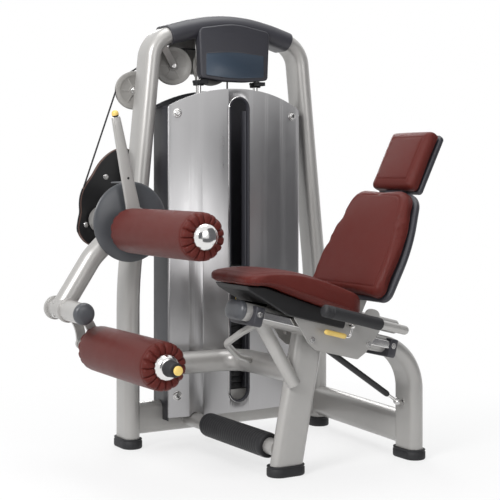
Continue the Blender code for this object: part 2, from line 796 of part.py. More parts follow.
def cushion_rings(crown, sink=0.0025):
    """(inset from the edge, height as a share of thickness, crown rise) from bottom to top."""
    return [
        (0.008, 0.0, 0), (0.0015, 0.12, 0), (0.0, 0.40, 0), (0.003, 0.50, 0), (0.0005, 0.58, 0),
        (0.006, 0.88, 0), (0.014, 0.97, 0), (0.028, 1.0, -sink),
        (0.0305, 1.0, -sink - 0.0015), (0.033, 1.0, -sink),
        (PAD_FACE_INSET, 1.0, crown * 0.75),
    ]


def inset_corners(corners, distance):
    """A polygon's corners once each side has moved in by the same distance."""
    moved = []
    count = len(corners)
    for k, corner in enumerate(corners):
        here = Vector(corner)
        into = (here - Vector(corners[k - 1])).normalized()
        out = (Vector(corners[(k + 1) % count]) - here).normalized()
        first = Vector((-into.y, into.x))
        last = Vector((-out.y, out.x))
        moved.append(tuple(here + (first + last) * (distance / (1 + first.dot(last)))))
    return moved


def pad_shape(corners, radii, steps, cell):
    """Gives a function of a distance: the pad's rounded edge moved in by it.

    Every edge has as many points, so rings of them join, and its least corner radius keeps
    it from crossing itself.
    """
    edge = rounded_outline(corners, radii, steps)
    counts = []
    for k, point in enumerate(edge):
        gap = (Vector(edge[(k + 1) % len(edge)]) - Vector(point)).length
        counts.append(max(1, round(gap / cell)))

    def ring(distance):
        inner = [max(radius - distance, PAD_LEAST_RADIUS) for radius in radii]
        rough = rounded_outline(inset_corners(corners, distance), inner, steps)
        points = []
        for k, count in enumerate(counts):
            here = Vector(rough[k])
            there = Vector(rough[(k + 1) % len(rough)])
            points += [tuple(here.lerp(there, n / count)) for n in range(count)]
        return points

    return ring


def cushion(name, ring, place, crown, curved_base=False):
    """A sewn pad: drawn-in sides, a seam round the edge and a crowned face.

    place turns (outline point, share of thickness, rise) into a point in space.
    """
    bm = bmesh.new()
    last = ring(PAD_FACE_INSET)
    middle = sum((Vector(p) for p in last), Vector((0, 0))) / len(last)
    rings = []
    if curved_base:
        for shrink in (0.12, 0.45, 0.75, 1.0):
            shrunk = [middle + (Vector(p) - middle) * shrink for p in last]
            rings.append([place(p, 0.0, 0.0) for p in shrunk])
    for inset, share, rise in cushion_rings(crown):
        rings.append([place(p, share, rise) for p in ring(inset)])
    shrunk = [middle + (Vector(p) - middle) * 0.25 for p in last]
    rings.append([place(p, 1.0, crown) for p in shrunk])
    skin(bm, rings)
    return finish(name, bm, LEATHER)


def smooth_line(knots, x):
    """Height on a smooth line through (x, z) knots, by Catmull-Rom slopes."""
    for k in range(len(knots) - 1):
        if x <= knots[k + 1][0] or k == len(knots) - 2:
            break
    (x0, z0), (x1, z1) = knots[k], knots[k + 1]
    before = knots[max(k - 1, 0)]
    after = knots[min(k + 2, len(knots) - 1)]
    slope0 = (z1 - before[1]) / (x1 - before[0])
    slope1 = (after[1] - z0) / (after[0] - x0)
    span = x1 - x0
    t = (x - x0) / span
    return (
        (2 * t ** 3 - 3 * t ** 2 + 1) * z0 + (t ** 3 - 2 * t ** 2 + t) * span * slope0
        + (3 * t ** 2 - 2 * t ** 3) * z1 + (t ** 3 - t ** 2) * span * slope1
    )


SEAT_TOP = [
    (-0.240, 0.616), (-0.200, 0.630), (-0.130, 0.636), (-0.050, 0.632), (0.020, 0.614), (0.175, 0.556),
]
SEAT_LOW = [
    (-0.240, 0.606), (-0.200, 0.606), (-0.130, 0.600), (-0.050, 0.5705), (0.020, 0.545), (0.175, 0.4895),
]


def seat_pad():
    corners = [
        (SEAT_FRONT_X, SEAT_FRONT_HALF), (SEAT_FRONT_X, -SEAT_FRONT_HALF),
        (SEAT_REAR_X, -SEAT_REAR_HALF), (SEAT_REAR_X, SEAT_REAR_HALF),
    ]
    ring = pad_shape(corners, (0.060, 0.060, 0.045, 0.045), 4, 0.048)

    def place(point, share, rise):
        low = smooth_line(SEAT_LOW, point[0])
        high = smooth_line(SEAT_TOP, point[0])
        return (point[0], SEAT_Y + point[1], low + (high - low) * share + rise)

    cushion("seat_pad", ring, place, 0.010, curved_base=True)


def back_ring():
    corners = [
        (-BACK_HALF + 0.006, 0.0), (BACK_HALF - 0.006, 0.0), (BACK_HALF, 0.190),
        (BACK_TOP_HALF, BACK_LONG), (-BACK_TOP_HALF, BACK_LONG), (-BACK_HALF, 0.190),
    ]
    return pad_shape(corners, (0.035, 0.035, 0.12, 0.050, 0.050, 0.12), 3, 0.100)


def head_ring():
    low, high = HEAD_REST_LOW, HEAD_REST_LOW + HEAD_REST_LONG
    half = HEAD_REST_HALF
    corners = [(-half, low), (half, low), (half, high), (-half, high)]
    return pad_shape(corners, (0.014,) * 4, 3, 0.100)


def back_pads():
    def place(point, share, rise):
        return (PAD_THICK - PAD_THICK * share - rise, SEAT_Y + point[0], point[1])

    def place_head(point, share, rise):
        depth = PAD_THICK - PAD_THICK * share - rise * 0.6
        return (HEAD_REST_BACK + depth, SEAT_Y + point[0], point[1])

    on_back(cushion("backrest_pad", back_ring(), place, 0.010))
    on_back(cushion("headrest_pad", head_ring(), place_head, 0.008))


def back_shell():
    def panel(name, ring, front, back, hidden):
        bm = bmesh.new()
        rings = []
        for depth, inset in ((front, 0.0), (front + (back - front) * 0.55, 0.001), (back - 0.003, 0.007),
                             (back, 0.014)):
            rings.append([(depth, SEAT_Y + p[0], p[1]) for p in ring(inset)])
        skin(bm, rings)
        return finish(name, bm, PLASTIC, hidden)

    front = PAD_THICK + GAP
    shell = panel("back_shell", back_ring(), front, front + SHELL_THICK - GAP, False)
    head_front = HEAD_REST_BACK + PAD_THICK + GAP
    head = panel("head_shell", head_ring(), head_front, head_front + SHELL_THICK - GAP, True)
    neck = box("neck", (front + 0.004, SEAT_Y - 0.045, BACK_LONG - 0.06),
               (HEAD_REST_BACK + PAD_THICK + 0.012, SEAT_Y + 0.045, HEAD_REST_LOW + 0.06))
    head_room = box("head_room", (HEAD_REST_BACK - 0.02, SEAT_Y - 0.12, HEAD_REST_LOW - GAP),
                    (HEAD_REST_BACK + PAD_THICK + GAP, SEAT_Y + 0.12, HEAD_REST_LOW + 0.2))
    spine_front = PAD_THICK + SHELL_THICK
    spine_room = box("spine_room", (spine_front, SEAT_Y - SPINE_WIDE / 2 - GAP, -0.1),
                     (spine_front + SPINE_DEEP + 2 * GAP, SEAT_Y + SPINE_WIDE / 2 + GAP,
                      HEAD_REST_LOW + 0.060 + GAP))
    weld(shell, head, neck)
    cut(shell, head_room, spine_room)
    on_back(shell, head, neck, head_room, spine_room)


# ---------------------------------------------------------------- tower

def bulge_y(x):
    share = (x - TOWER_X) / SHROUD_HALF
    return SHROUD_EDGE_Y - SHROUD_BULGE * (1 - share * share)


def shroud_outline(inset=0.0, low=SHROUD_LOW):
    """The front panel's shape in X and Z: straight sides and an arched top."""
    half = SHROUD_HALF - inset
    points = [(TOWER_X - half, low), (TOWER_X + half, low)]
    count = 12
    for k in range(count + 1):
        share = 1 - 2 * k / count
        rise = (SHROUD_TOP_Z - SHROUD_CORNER_Z) * (1 - abs(share) ** 2.2)
        points.append((TOWER_X + half * share, SHROUD_CORNER_Z - inset + rise))
    return points


def slot_outline(grow=0.0):
    centre = (SLOT_HIGH + SLOT_LOW) / 2
    tall = SLOT_HIGH - SLOT_LOW + 2 * grow
    return [(TOWER_X - b, centre + a) for a, b in stadium(tall, 2 * (SLOT_HALF + grow), 8)]


def front_shroud():
    count = 14
    front = []
    back = []
    for k in range(count + 1):
        x = TOWER_X + SHROUD_HALF * (2 * k / count - 1)
        front.append((x, bulge_y(x)))
        back.append((x, bulge_y(x) + SHEET))
    shroud = prism("front_shroud", front + back[::-1], SHROUD_LOW - 0.01, SHROUD_TOP_Z + 0.01, "XY",
                   STEEL, hidden=False)
    shape = prism("shroud_shape", shroud_outline(), SHROUD_EDGE_Y - 0.06, SHROUD_EDGE_Y + 0.02, "XZ")
    boolean(shroud, shape, "INTERSECT")
    slot = prism("shroud_slot", slot_outline(), SHROUD_EDGE_Y - 0.06, SHROUD_EDGE_Y + 0.02, "XZ")
    step_room = rod("step_room", (STEP_X, SHROUD_EDGE_Y - 0.06, STEP_Z), (STEP_X, TOWER_Y, STEP_Z),
                    STEP_RADIUS + 0.003)
    cut(shroud, slot, step_room)


def slot_trim():
    """A raised chrome lip that stands in the slot and over its edge."""
    face = SHROUD_EDGE_Y - SHROUD_BULGE
    trim = prism("slot_trim", slot_outline(-GAP), face - 0.0035, face + 0.010, "XZ", CHROME, hidden=False)
    lip = prism("trim_lip", slot_outline(0.005), face - 0.0035, face - GAP, "XZ")
    room = prism("trim_room", slot_outline(-0.0035), face - 0.02, face + 0.03, "XZ")
    weld(trim, lip)
    cut(trim, room)


def rear_cover():
    """The dark cover round the tower's back and both sides, notched over the base beam."""
    outer = SHROUD_HALF
    wall = SHEET
    front = SHROUD_EDGE_Y + SHEET + GAP
    back = COVER_BACK_Y
    plan = rounded_outline([
        (TOWER_X - outer, front), (TOWER_X + outer, front), (TOWER_X + outer, back + 0.012),
        (TOWER_X - outer, back + 0.012),
    ], (0.002, 0.002, 0.030, 0.030), 4)
    inner_plan = rounded_outline([
        (TOWER_X - outer + wall, front - 0.02), (TOWER_X + outer - wall, front - 0.02),
        (TOWER_X + outer - wall, back + 0.012 - wall), (TOWER_X - outer + wall, back + 0.012 - wall),
    ], (0.002, 0.002, 0.026, 0.026), 4)
    cover = prism("rear_cover", plan, SHROUD_LOW - 0.012, SHROUD_TOP_Z + 0.01, "XY", PLASTIC, hidden=False)
    room = prism("cover_room", inner_plan, 0.0, SHROUD_TOP_Z + 0.05, "XY")
    shape = prism("cover_shape", shroud_outline(low=SHROUD_LOW - 0.012), front - 0.05, back + 0.05, "XZ")
    notch = oval_tube("cover_notch", base_beam_path(), Z, GAP, hidden=True)
    mouth = box("cover_mouth", (TOWER_X - 0.4, TOWER_Y - TUBE_THIN / 2 - GAP, 0.0),
                (TOWER_X + 0.4, TOWER_Y + TUBE_THIN / 2 + GAP, BASE_Z))
    boolean(cover, shape, "INTERSECT")
    cut(cover, room, notch, mouth)


def sleeve(name, grow, hidden):
    """The outside of the sleeve over the arch's crown."""
    path = [point for point in arch_path() if abs(point.x - TOWER_X) < SLEEVE_HALF]
    bm = bmesh.new()
    size = 2 * (SLEEVE_WALL + grow)
    sweep(bm, stadium(TUBE_WIDE + size, TUBE_THIN + size), path, Y, grow)
    return finish(name, bm, PLASTIC, hidden)


def guide_rods():
    top = CROWN_SIDE_Z
    sleeve_cut = sleeve("sleeve_cut", GAP, True)
    for name, sign in (("guide_rod_left", -1), ("guide_rod_right", 1)):
        x = TOWER_X + sign * ROD_OFF
        profile = [
            (0, 0), (0, ROD_RADIUS), (ROD_STEP_Z - STACK_FLOOR, ROD_RADIUS),
            (ROD_STEP_Z - STACK_FLOOR, ROD_HEAD_RADIUS), (top - STACK_FLOOR, ROD_HEAD_RADIUS),
            (top - STACK_FLOOR, 0),
        ]
        rod_obj = lathe(name, profile, (x, STACK_Y, STACK_FLOOR), Z, CHROME, hidden=False, steps=16)
        cut(rod_obj, sleeve_cut)


def plate_block(name, count, low, hidden=False, material=IRON):
    """Plates with a groove between each pair, seen at the front and the back."""
    front = STACK_Y - PLATE_DEEP / 2
    back = STACK_Y + PLATE_DEEP / 2
    half_groove = 0.0008
    side = []
    for k in range(count):
        bottom = low + k * PLATE_PITCH
        top = bottom + PLATE_PITCH
        side += [(bottom + (half_groove if k else 0), 0)]
        side += [(top - (half_groove if k < count - 1 else 0), 0)]
        if k < count - 1:
            side += [(top - half_groove, PLATE_GROOVE), (top + half_groove, PLATE_GROOVE)]
    outline = [(front + d, z) for z, d in side] + [(back, side[-1][0]), (back, side[0][0])]
    half = PLATE_WIDE / 2
    block = prism(name, outline, TOWER_X - half, TOWER_X + half, "YZ", material, hidden)
    high = low + count * PLATE_PITCH
    for sign in (-1, 1):
        x = TOWER_X + sign * ROD_OFF
        cut(block, rod(f"{name}_hole{sign}", (x, STACK_Y, low - 0.01), (x, STACK_Y, high + 0.01),
                       ROD_RADIUS + 0.002, steps=16))
    cut(block, rod(f"{name}_stem", (TOWER_X, STACK_Y, low - 0.01), (TOWER_X, STACK_Y, high + 0.01),
                   STEM_RADIUS + 0.001, steps=16))
    bm = bmesh.new()
    for k in range(count):
        z = low + (k + 0.5) * PLATE_PITCH
        line = [(TOWER_X, front - 0.01, z), (TOWER_X, STACK_Y - 0.005, z)]
        sweep(bm, circle(PIN_RADIUS + 0.0012, 6), line, X)
    return cut(block, finish(f"{name}_pins", bm, None, True))


def weight_stack():
    plate_block("weight_plates", RESTING_PLATES, STACK_FLOOR)
    low = STACK_FLOOR + RESTING_PLATES * PLATE_PITCH + RUN
    plate_block("lifted_plates", LIFTED_PLATES, low)
    high = low + LIFTED_PLATES * PLATE_PITCH
    half = PLATE_WIDE / 2
    top = box("top_plate", (TOWER_X - half, STACK_Y - PLATE_DEEP / 2, high + GAP),
              (TOWER_X + half, STACK_Y + PLATE_DEEP / 2, high + TOP_PLATE_TALL), STEEL, hidden=False)
    bevel(top, 0.003, 1)
    stem = rod("stem", (TOWER_X, STACK_Y, STACK_FLOOR + 0.02), (TOWER_X, STACK_Y, high + STEM_TOP),
               STEM_RADIUS, steps=16)
    weld(top, stem)
    for sign in (-1, 1):
        x = TOWER_X + sign * ROD_OFF
        cut(top, rod(f"top_hole{sign}", (x, STACK_Y, high - 0.02), (x, STACK_Y, high + 0.06),
                     ROD_RADIUS + RUN, steps=16))
    pin_z = low + PLATE_PITCH / 2
    front = STACK_Y - PLATE_DEEP / 2
    hole = rod("stem_hole", (TOWER_X, front, pin_z), (TOWER_X, STACK_Y + 0.004, pin_z),
               PIN_RADIUS + GAP, steps=12)
    cut(top, hole)
    profile = [
        (0, 0), (0, 0.008), (0.003, 0.0105), (0.022, 0.0105), (0.026, 0.007), (0.028, PIN_RADIUS),
        (0.092, PIN_RADIUS), (0.095, 0.002), (0.095, 0),
    ]
    lathe("selector_pin", profile, (TOWER_X, front - 0.048, pin_z), Y, YELLOW, hidden=False, steps=14)
    return high


def head_cover(arch_cut):
    """The dark sleeve over the arch's crown, with the tray that carries the placard."""
    cover = sleeve("head_cover", 0.0, False)
    half = HEAD_HALF
    outline = rounded_outline([
        (TOWER_X - half, HEAD_LOW), (TOWER_X + half, HEAD_LOW),
        (TOWER_X + half + 0.004, CROWN_SIDE_Z), (TOWER_X - half - 0.004, CROWN_SIDE_Z),
    ], (0.012, 0.012, 0.0, 0.0))
    tray = prism("head_tray", outline, HEAD_FRONT_Y, HEAD_FRONT_Y + HEAD_DEEP, "XZ")
    bevel(tray, 0.005, 1)
    pocket = box("head_pocket", (TOWER_X - half + 0.005, HEAD_FRONT_Y + 0.006, HEAD_LOW + 0.005),
                 (TOWER_X + half - 0.005, HEAD_FRONT_Y + 0.060, CROWN_SIDE_Z - 0.040))
    sockets = []
    for sign in (-1, 1):
        x = TOWER_X + sign * ROD_OFF
        ends = (x, STACK_Y, HEAD_LOW - 0.014), (x, STACK_Y, HEAD_LOW + 0.004)
        ring = rod(f"socket{sign}", *ends, 0.021, steps=16)
        bridge = box(f"socket_bridge{sign}", (x - 0.014, HEAD_FRONT_Y + 0.010, HEAD_LOW - 0.010),
                     (x + 0.014, STACK_Y, HEAD_LOW + 0.004))
        sockets += [ring, bridge]
    weld(cover, tray)
    cut(cover, pocket)
    weld(cover, *sockets)
    for sign in (-1, 1):
        x = TOWER_X + sign * ROD_OFF
        cut(cover, rod(f"socket_hole{sign}", (x, STACK_Y, HEAD_LOW - 0.05), (x, STACK_Y, HEAD_LOW + 0.05),
                       ROD_HEAD_RADIUS + GAP, steps=16))
    cut(cover, arch_cut)


def placard():
    outline = rounded_outline([
        (TOWER_X - 0.118, HEAD_LOW + 0.014), (TOWER_X + 0.118, HEAD_LOW + 0.014),
        (TOWER_X + 0.118, HEAD_LOW + 0.104), (TOWER_X - 0.118, HEAD_LOW + 0.104),
    ], (0.006,) * 4)
    prism("placard", outline, HEAD_FRONT_Y - 0.0015 - GAP, HEAD_FRONT_Y - GAP, "XZ", BARE, hidden=False)


# ---------------------------------------------------------------- pulleys and cable

def pulley_profile():
    half = PULLEY_THICK / 2
    return [
        (-half * 0.55, 0.0086), (-half * 0.55, 0.045), (-half, 0.052), (-half, PULLEY_RADIUS),
        (-0.004, PULLEY_GROOVE), (0.004, PULLEY_GROOVE), (half, PULLEY_RADIUS), (half, 0.052),
        (half * 0.55, 0.045), (half * 0.55, 0.0086), (-half * 0.55, 0.0086),
    ]


def cable_frame():
    """The three pulley centres, in one upright plane that ends over the stack's middle."""
    outer = Vector(PULLEY_OUTER)
    ride = PULLEY_GROOVE + CABLE_RADIUS + GAP
    flat = Vector((TOWER_X - outer.x, STACK_Y - outer.y, 0)).normalized()
    upper = outer + flat * ((PULLEY_UPPER_X - outer.x) / flat.x)
    upper.z = PULLEY_UPPER_Z
    stack = Vector((TOWER_X, STACK_Y, PULLEY_UPPER_Z)) - flat * ride
    normal = Vector((-flat.y, flat.x, 0))
    return outer, upper, stack, normal, flat, ride


def ride_round(centre, normal, radius, start, end, steps):
    """Points on a pulley's groove from one direction to another, the short way."""
    first = (start - normal * start.dot(normal)).normalized()
    last = (end - normal * end.dot(normal)).normalized()
    return [centre + first.slerp(last, k / steps) * radius for k in range(steps + 1)]


def pulleys_and_cable(top_z):
    outer, upper, stack, normal, flat, ride = cable_frame()
    for name, centre in (("pulley_outer", outer), ("pulley_upper", upper), ("pulley_stack", stack)):
        lathe(name, pulley_profile(), centre, normal, GREY, hidden=False, steps=16)

    tangent = Vector(CAM_TANGENT)
    to_cam = tangent - outer
    in_plane = (to_cam - normal * to_cam.dot(normal))
    leave = Matrix.Rotation(math.acos(ride / in_plane.length), 3, normal) @ in_plane.normalized()
    run = (upper - outer).normalized()
    up_outer = (Z - run * run.z).normalized()
    path = [tangent]
    path += ride_round(outer, normal, ride, leave, up_outer, 7)
    path += ride_round(upper, normal, ride, up_outer, Z, 3)
    path += ride_round(stack, normal, ride, Z, flat, 7)
    drop = path[-1].copy()
    path.append(Vector((drop.x, drop.y, drop.z - 0.030)))
    round_tube("cable_main", path, CABLE_RADIUS, Y, RUBBER, steps=6)
    low = top_z + STEM_TOP + GAP
    round_tube("cable_drop", [(drop.x, drop.y, drop.z - 0.030 - GAP), (drop.x, drop.y, low)],
               CABLE_RADIUS, X, RUBBER, steps=8)


def head_bracket(arch):
    outer, upper, stack, normal, _, _ = cable_frame()
    back = TOWER_Y + TUBE_WIDE / 2 + SLEEVE_WALL + GAP
    outline = rounded_outline([
        (upper.x - 0.030, upper.z - 0.025), (stack.x + 0.060, upper.z - 0.025),
        (stack.x + 0.060, CROWN_SIDE_Z + 0.012), (upper.x + 0.010, CROWN_SIDE_Z),
    ], (0.012,) * 4)
    bracket = prism("head_bracket", outline, back, back + 0.006, "XZ", PAINT, hidden=False)
    axles = []
    for name, centre in (("upper_axle", upper), ("stack_axle", stack)):
        reach = (back + 0.003 - centre.y) / normal.y
        axles.append(rod(name, centre - normal * 0.018, centre + normal * reach, 0.008, steps=16))
    weld(bracket, *axles)
    reach = (TOWER_Y + 0.030 - outer.y) / normal.y
    axle = rod("outer_axle", outer + normal * 0.018, outer + normal * reach, 0.008, steps=16)
    weld(arch, axle)


# ---------------------------------------------------------------- knee axis

def axle_housing(arch_cut):
    low, high = HOUSING_ENDS
    bore = SHAFT_RADIUS + RUN
    profile = [
        (0, bore), (0, HOUSING_RADIUS - 0.003), (0.003, HOUSING_RADIUS),
        (high - low - 0.003, HOUSING_RADIUS), (high - low, HOUSING_RADIUS - 0.003),
        (high - low, bore), (0, bore),
    ]
    housing = lathe("axle_housing", profile, (AXIS_X, low, AXIS_Z), Y, PAINT, hidden=False, steps=20)
    web = box("housing_web", (AXIS_X + 0.030, TOWER_Y - 0.030, AXIS_Z - 0.075),
              (TOWER_X - ARCH_HALF + 0.030, TOWER_Y + 0.030, AXIS_Z + 0.075))
    weld(housing, web)
    ends = (AXIS_X, low - 0.02, AXIS_Z), (AXIS_X, high + 0.02, AXIS_Z)
    bore_cut = rod("housing_bore", *ends, bore, steps=20)
    cut(housing, bore_cut, arch_cut)


def cam_outline(shrink=0.0):
    """The cam's edge: a spiral from its low side up to its tip, and back round the hub."""
    points = []
    for k in range(CAM_POINTS):
        angle = -90 + 360 * k / CAM_POINTS
        radius = smooth_line(CAM_EDGE, angle) - shrink
        points.append((AXIS_X + radius * math.cos(math.radians(angle)),
                       AXIS_Z + radius * math.sin(math.radians(angle))))
    return points


def cam():
    """A plate cam with a groove in its edge, and the cable's end laid round its low side."""
    half = CAM_THICK / 2
    bm = bmesh.new()
    rings = []
    rim = ((-half, 0.0), (-0.005, 0.0), (-0.004, 0.008), (0.004, 0.008), (0.005, 0.0), (half, 0.0))
    for depth, shrink in rim:
        rings.append([(x, CAM_Y + depth, z) for x, z in cam_outline(shrink)])
    skin(bm, rings)
    plate = finish("cam", bm, IRON)
    cut(plate, rod("cam_bore", (AXIS_X, CAM_Y - 0.05, AXIS_Z), (AXIS_X, CAM_Y + 0.05, AXIS_Z),
                   SHAFT_RADIUS + GAP, steps=20))
    path = []
    for k in range(7):
        angle = 120 + 15 * k
        radius = smooth_line(CAM_EDGE, angle) - 0.0065
        path.append((AXIS_X + radius * math.cos(math.radians(angle)), CAM_Y,
                     AXIS_Z + radius * math.sin(math.radians(angle))))
    weld(plate, round_tube("cable_wrap", path, CABLE_RADIUS, Y, None, hidden=True, steps=6))


def dome_cover(arch_cut):
    """A moulded dome over the arm's hub. A window in its rim lets the arm swing."""
    front, back = DOME_FRONT, DOME_BACK
    outer = DOME_RADIUS
    deep = back - front
    shape = [(0, 0), (0, 0.030), (0.003, 0.062), (0.010, 0.092), (0.022, 0.115), (0.040, 0.128),
             (0.058, outer), (deep, outer), (deep, outer - DOME_WALL), (0.060, outer - DOME_WALL),
             (0.044, 0.122), (0.027, 0.110), (0.015, 0.088), (0.0085, 0.060), (0.0055, 0.030), (0.0055, 0)]
    dome = lathe("dome_cover", shape, (AXIS_X, front, AXIS_Z), Y, GREY, hidden=False, steps=26)
    window = []
    for angle in range(-262, -39, 12):
        a = math.radians(angle)
        window.append((AXIS_X + 0.2 * math.cos(a), AXIS_Z + 0.2 * math.sin(a)))
    window += [(AXIS_X + 0.02, AXIS_Z - 0.02), (AXIS_X - 0.01, AXIS_Z + 0.02)]
    opening = prism("dome_window", window, front + 0.016, back + 0.02, "XZ")
    ends = (AXIS_X, LEVER_BACK + GAP, AXIS_Z), (AXIS_X, front + 0.004, AXIS_Z)
    boss = rod("dome_boss", *ends, 0.026, steps=16)
    cut(dome, opening)
    weld(dome, boss)


def movement_arm():
    """Hub, curved arm and crossbar in one weldment, with the shaft that carries the cam."""
    line = rounded_path([
        (AXIS_X, ARM_Y, AXIS_Z), (AXIS_X - 0.120, ARM_Y, AXIS_Z - 0.115), (CROSSBAR_X, ARM_Y, CROSSBAR_Z),
    ], (0.16,), math.radians(10))
    arm = round_tube("movement_arm", line, ARM_RADIUS, Y, steps=16)
    hub_ends = (AXIS_X, ARM_Y - 0.038, AXIS_Z), (AXIS_X, HOUSING_ENDS[0] - 0.003, AXIS_Z)
    hub = rod("arm_hub", *hub_ends, 0.050, steps=20)
    shaft = rod("arm_shaft", (AXIS_X, HOUSING_ENDS[0] - 0.01, AXIS_Z), (AXIS_X, CAM_Y + 0.026, AXIS_Z),
                SHAFT_RADIUS, steps=20)
    bar_ends = (CROSSBAR_X, CROSSBAR_ENDS[0], CROSSBAR_Z), (CROSSBAR_X, CROSSBAR_ENDS[1], CROSSBAR_Z)
    bar = rod("crossbar", *bar_ends, CROSSBAR_RADIUS, steps=24)
    weld(arm, hub, shaft, bar)
    for name, y in (("near_groove", CHEEK_NEAR_Y), ("far_groove", CHEEK_FAR_Y)):
        ring = lathe(name, [(0, CROSSBAR_RADIUS - 0.004), (0, 0.05), (CHEEK_THICK + 2 * RUN, 0.05),
                            (CHEEK_THICK + 2 * RUN, CROSSBAR_RADIUS - 0.004), (0, CROSSBAR_RADIUS - 0.004)],
                     (CROSSBAR_X, y - RUN, CROSSBAR_Z), Y, steps=24)
        cut(arm, ring)
    domed_end("arm_end_cap", circle(CROSSBAR_RADIUS + 0.002, 24),
              (CROSSBAR_X, CROSSBAR_ENDS[0] - GAP, CROSSBAR_Z), -Y, X, 0.020, GREY)


def cheek(name, y, hidden):
    """A curved side plate from the crossbar to the shin shaft, with a boss at each end."""
    ends = Vector((SHIN_X - CROSSBAR_X, SHIN_Z - CROSSBAR_Z))
    count = 5
    side = Vector((-ends.y, ends.x)).normalized()
    upper = []
    lower = []
    for k in range(count + 1):
        share = k / count
        middle = Vector((CROSSBAR_X, CROSSBAR_Z)) + ends * share + side * (0.030 * math.sin(math.pi * share))
        half = 0.020 - 0.004 * math.sin(math.pi * share)
        upper.append(tuple(middle + side * half))
        lower.append(tuple(middle - side * half))
    web = prism(name, lower + upper[::-1], y, y + CHEEK_THICK, "XZ", PAINT, hidden=hidden)
    ring = rod(name + "_ring", (CROSSBAR_X, y, CROSSBAR_Z), (CROSSBAR_X, y + CHEEK_THICK, CROSSBAR_Z),
               CROSSBAR_RADIUS + CHEEK_RING, steps=24)
    ends = (SHIN_X, y, SHIN_Z), (SHIN_X, y + CHEEK_THICK, SHIN_Z)
    boss = rod(name + "_boss", *ends, SHIN_BOSS_RADIUS, steps=20)
    return web, ring, boss


def shin_bracket():
    near, *near_parts = cheek("shin_bracket", CHEEK_NEAR_Y, False)
    far = cheek("shin_cheek_far", CHEEK_FAR_Y, True)
    low = SHIN_ROLLER_ENDS[0]
    ends = (SHIN_X, low - 0.010, SHIN_Z), (SHIN_X, CHEEK_FAR_Y + CHEEK_THICK / 2, SHIN_Z)
    shaft = rod("shin_tube", *ends, SHIN_SHAFT_RADIUS, steps=16)
    weld(near, *near_parts, *far, shaft)
    for name, y in (("ring_room_near", CHEEK_NEAR_Y), ("ring_room_far", CHEEK_FAR_Y)):
        cut(near, rod(name, (CROSSBAR_X, y - 0.01, CROSSBAR_Z), (CROSSBAR_X, y + 0.03, CROSSBAR_Z),
                      CROSSBAR_RADIUS - 0.004 + RUN, steps=24))
    ends = (SHIN_X, low - 0.05, SHIN_Z), (SHIN_X, low + 0.030, SHIN_Z)
    bore = rod("button_bore", *ends, 0.0085 + RUN, steps=16)
    cut(near, bore)


def shin_hub():
    """The chrome hub and black collar at the shin roller's near end, and its push button."""
    low = SHIN_ROLLER_ENDS[0]
    bore = SHIN_SHAFT_RADIUS + GAP
    profile = [
        (0.0, 0.040), (-0.004, 0.039), (-0.016, 0.034), (-0.022, 0.026), (-0.024, 0.0235),
        (-0.060, 0.0215), (-0.064, 0.018), (-0.064, 0.0085 + RUN), (-0.010 - GAP, 0.0085 + RUN),
        (-0.010 - GAP, bore), (0.0, bore), (0.0, 0.040),
    ]
    lathe("shin_hub", profile, (SHIN_X, low - GAP, SHIN_Z), Y, CHROME, hidden=False, steps=16)
    button = [
        (0, 0), (0, 0.010), (0.003, 0.0135), (0.009, 0.0140), (0.009, 0.0085), (0.060, 0.0085), (0.060, 0),
    ]
    lathe("shin_button", button, (SHIN_X, low - 0.064 - 0.018, SHIN_Z), Y, YELLOW, hidden=False, steps=16)


def roller(name, x, z, ends, bore):
    """A foam roller in stitched leather, gathered into pleats at each end."""
    low, high = ends
    pleats = 12
    segments = 36
    long = high - low
    steps = [
        (0.005, bore, 0.0), (0.0, 0.040, 0.8), (0.006, 0.056, 1.0),
        (0.015, 0.066, 0.6), (0.034, ROLLER_RADIUS, 0.0),
    ]
    mirrored = [(long - along, radius, depth) for along, radius, depth in reversed(steps)]
    bm = bmesh.new()
    rings = []
    for along, radius, depth in steps + mirrored:
        ring = []
        for k in range(segments):
            angle = math.tau * k / segments
            fold = 1 - abs(math.cos(pleats * angle / 2)) ** 0.7
            r = radius - 0.0045 * depth * fold
            inward = 0.002 * depth * fold * (1 if along < long / 2 else -1)
            ring.append((x + r * math.cos(angle), low + along + inward, z + r * math.sin(angle)))
        rings.append(ring)
    inner = [[(x + bore * math.cos(math.tau * k / segments), y, z + bore * math.sin(math.tau * k / segments))
              for k in range(segments)] for y in (high - 0.006, low + 0.006)]
    skin(bm, rings + inner, closed=True)
    return finish(name, bm, LEATHER)


def rollers():
    roller("shin_roller", SHIN_X, SHIN_Z, SHIN_ROLLER_ENDS, SHIN_SHAFT_RADIUS + RUN)
    roller("thigh_roller", THIGH_X, THIGH_Z, THIGH_ROLLER_ENDS, SHIN_SHAFT_RADIUS + RUN)


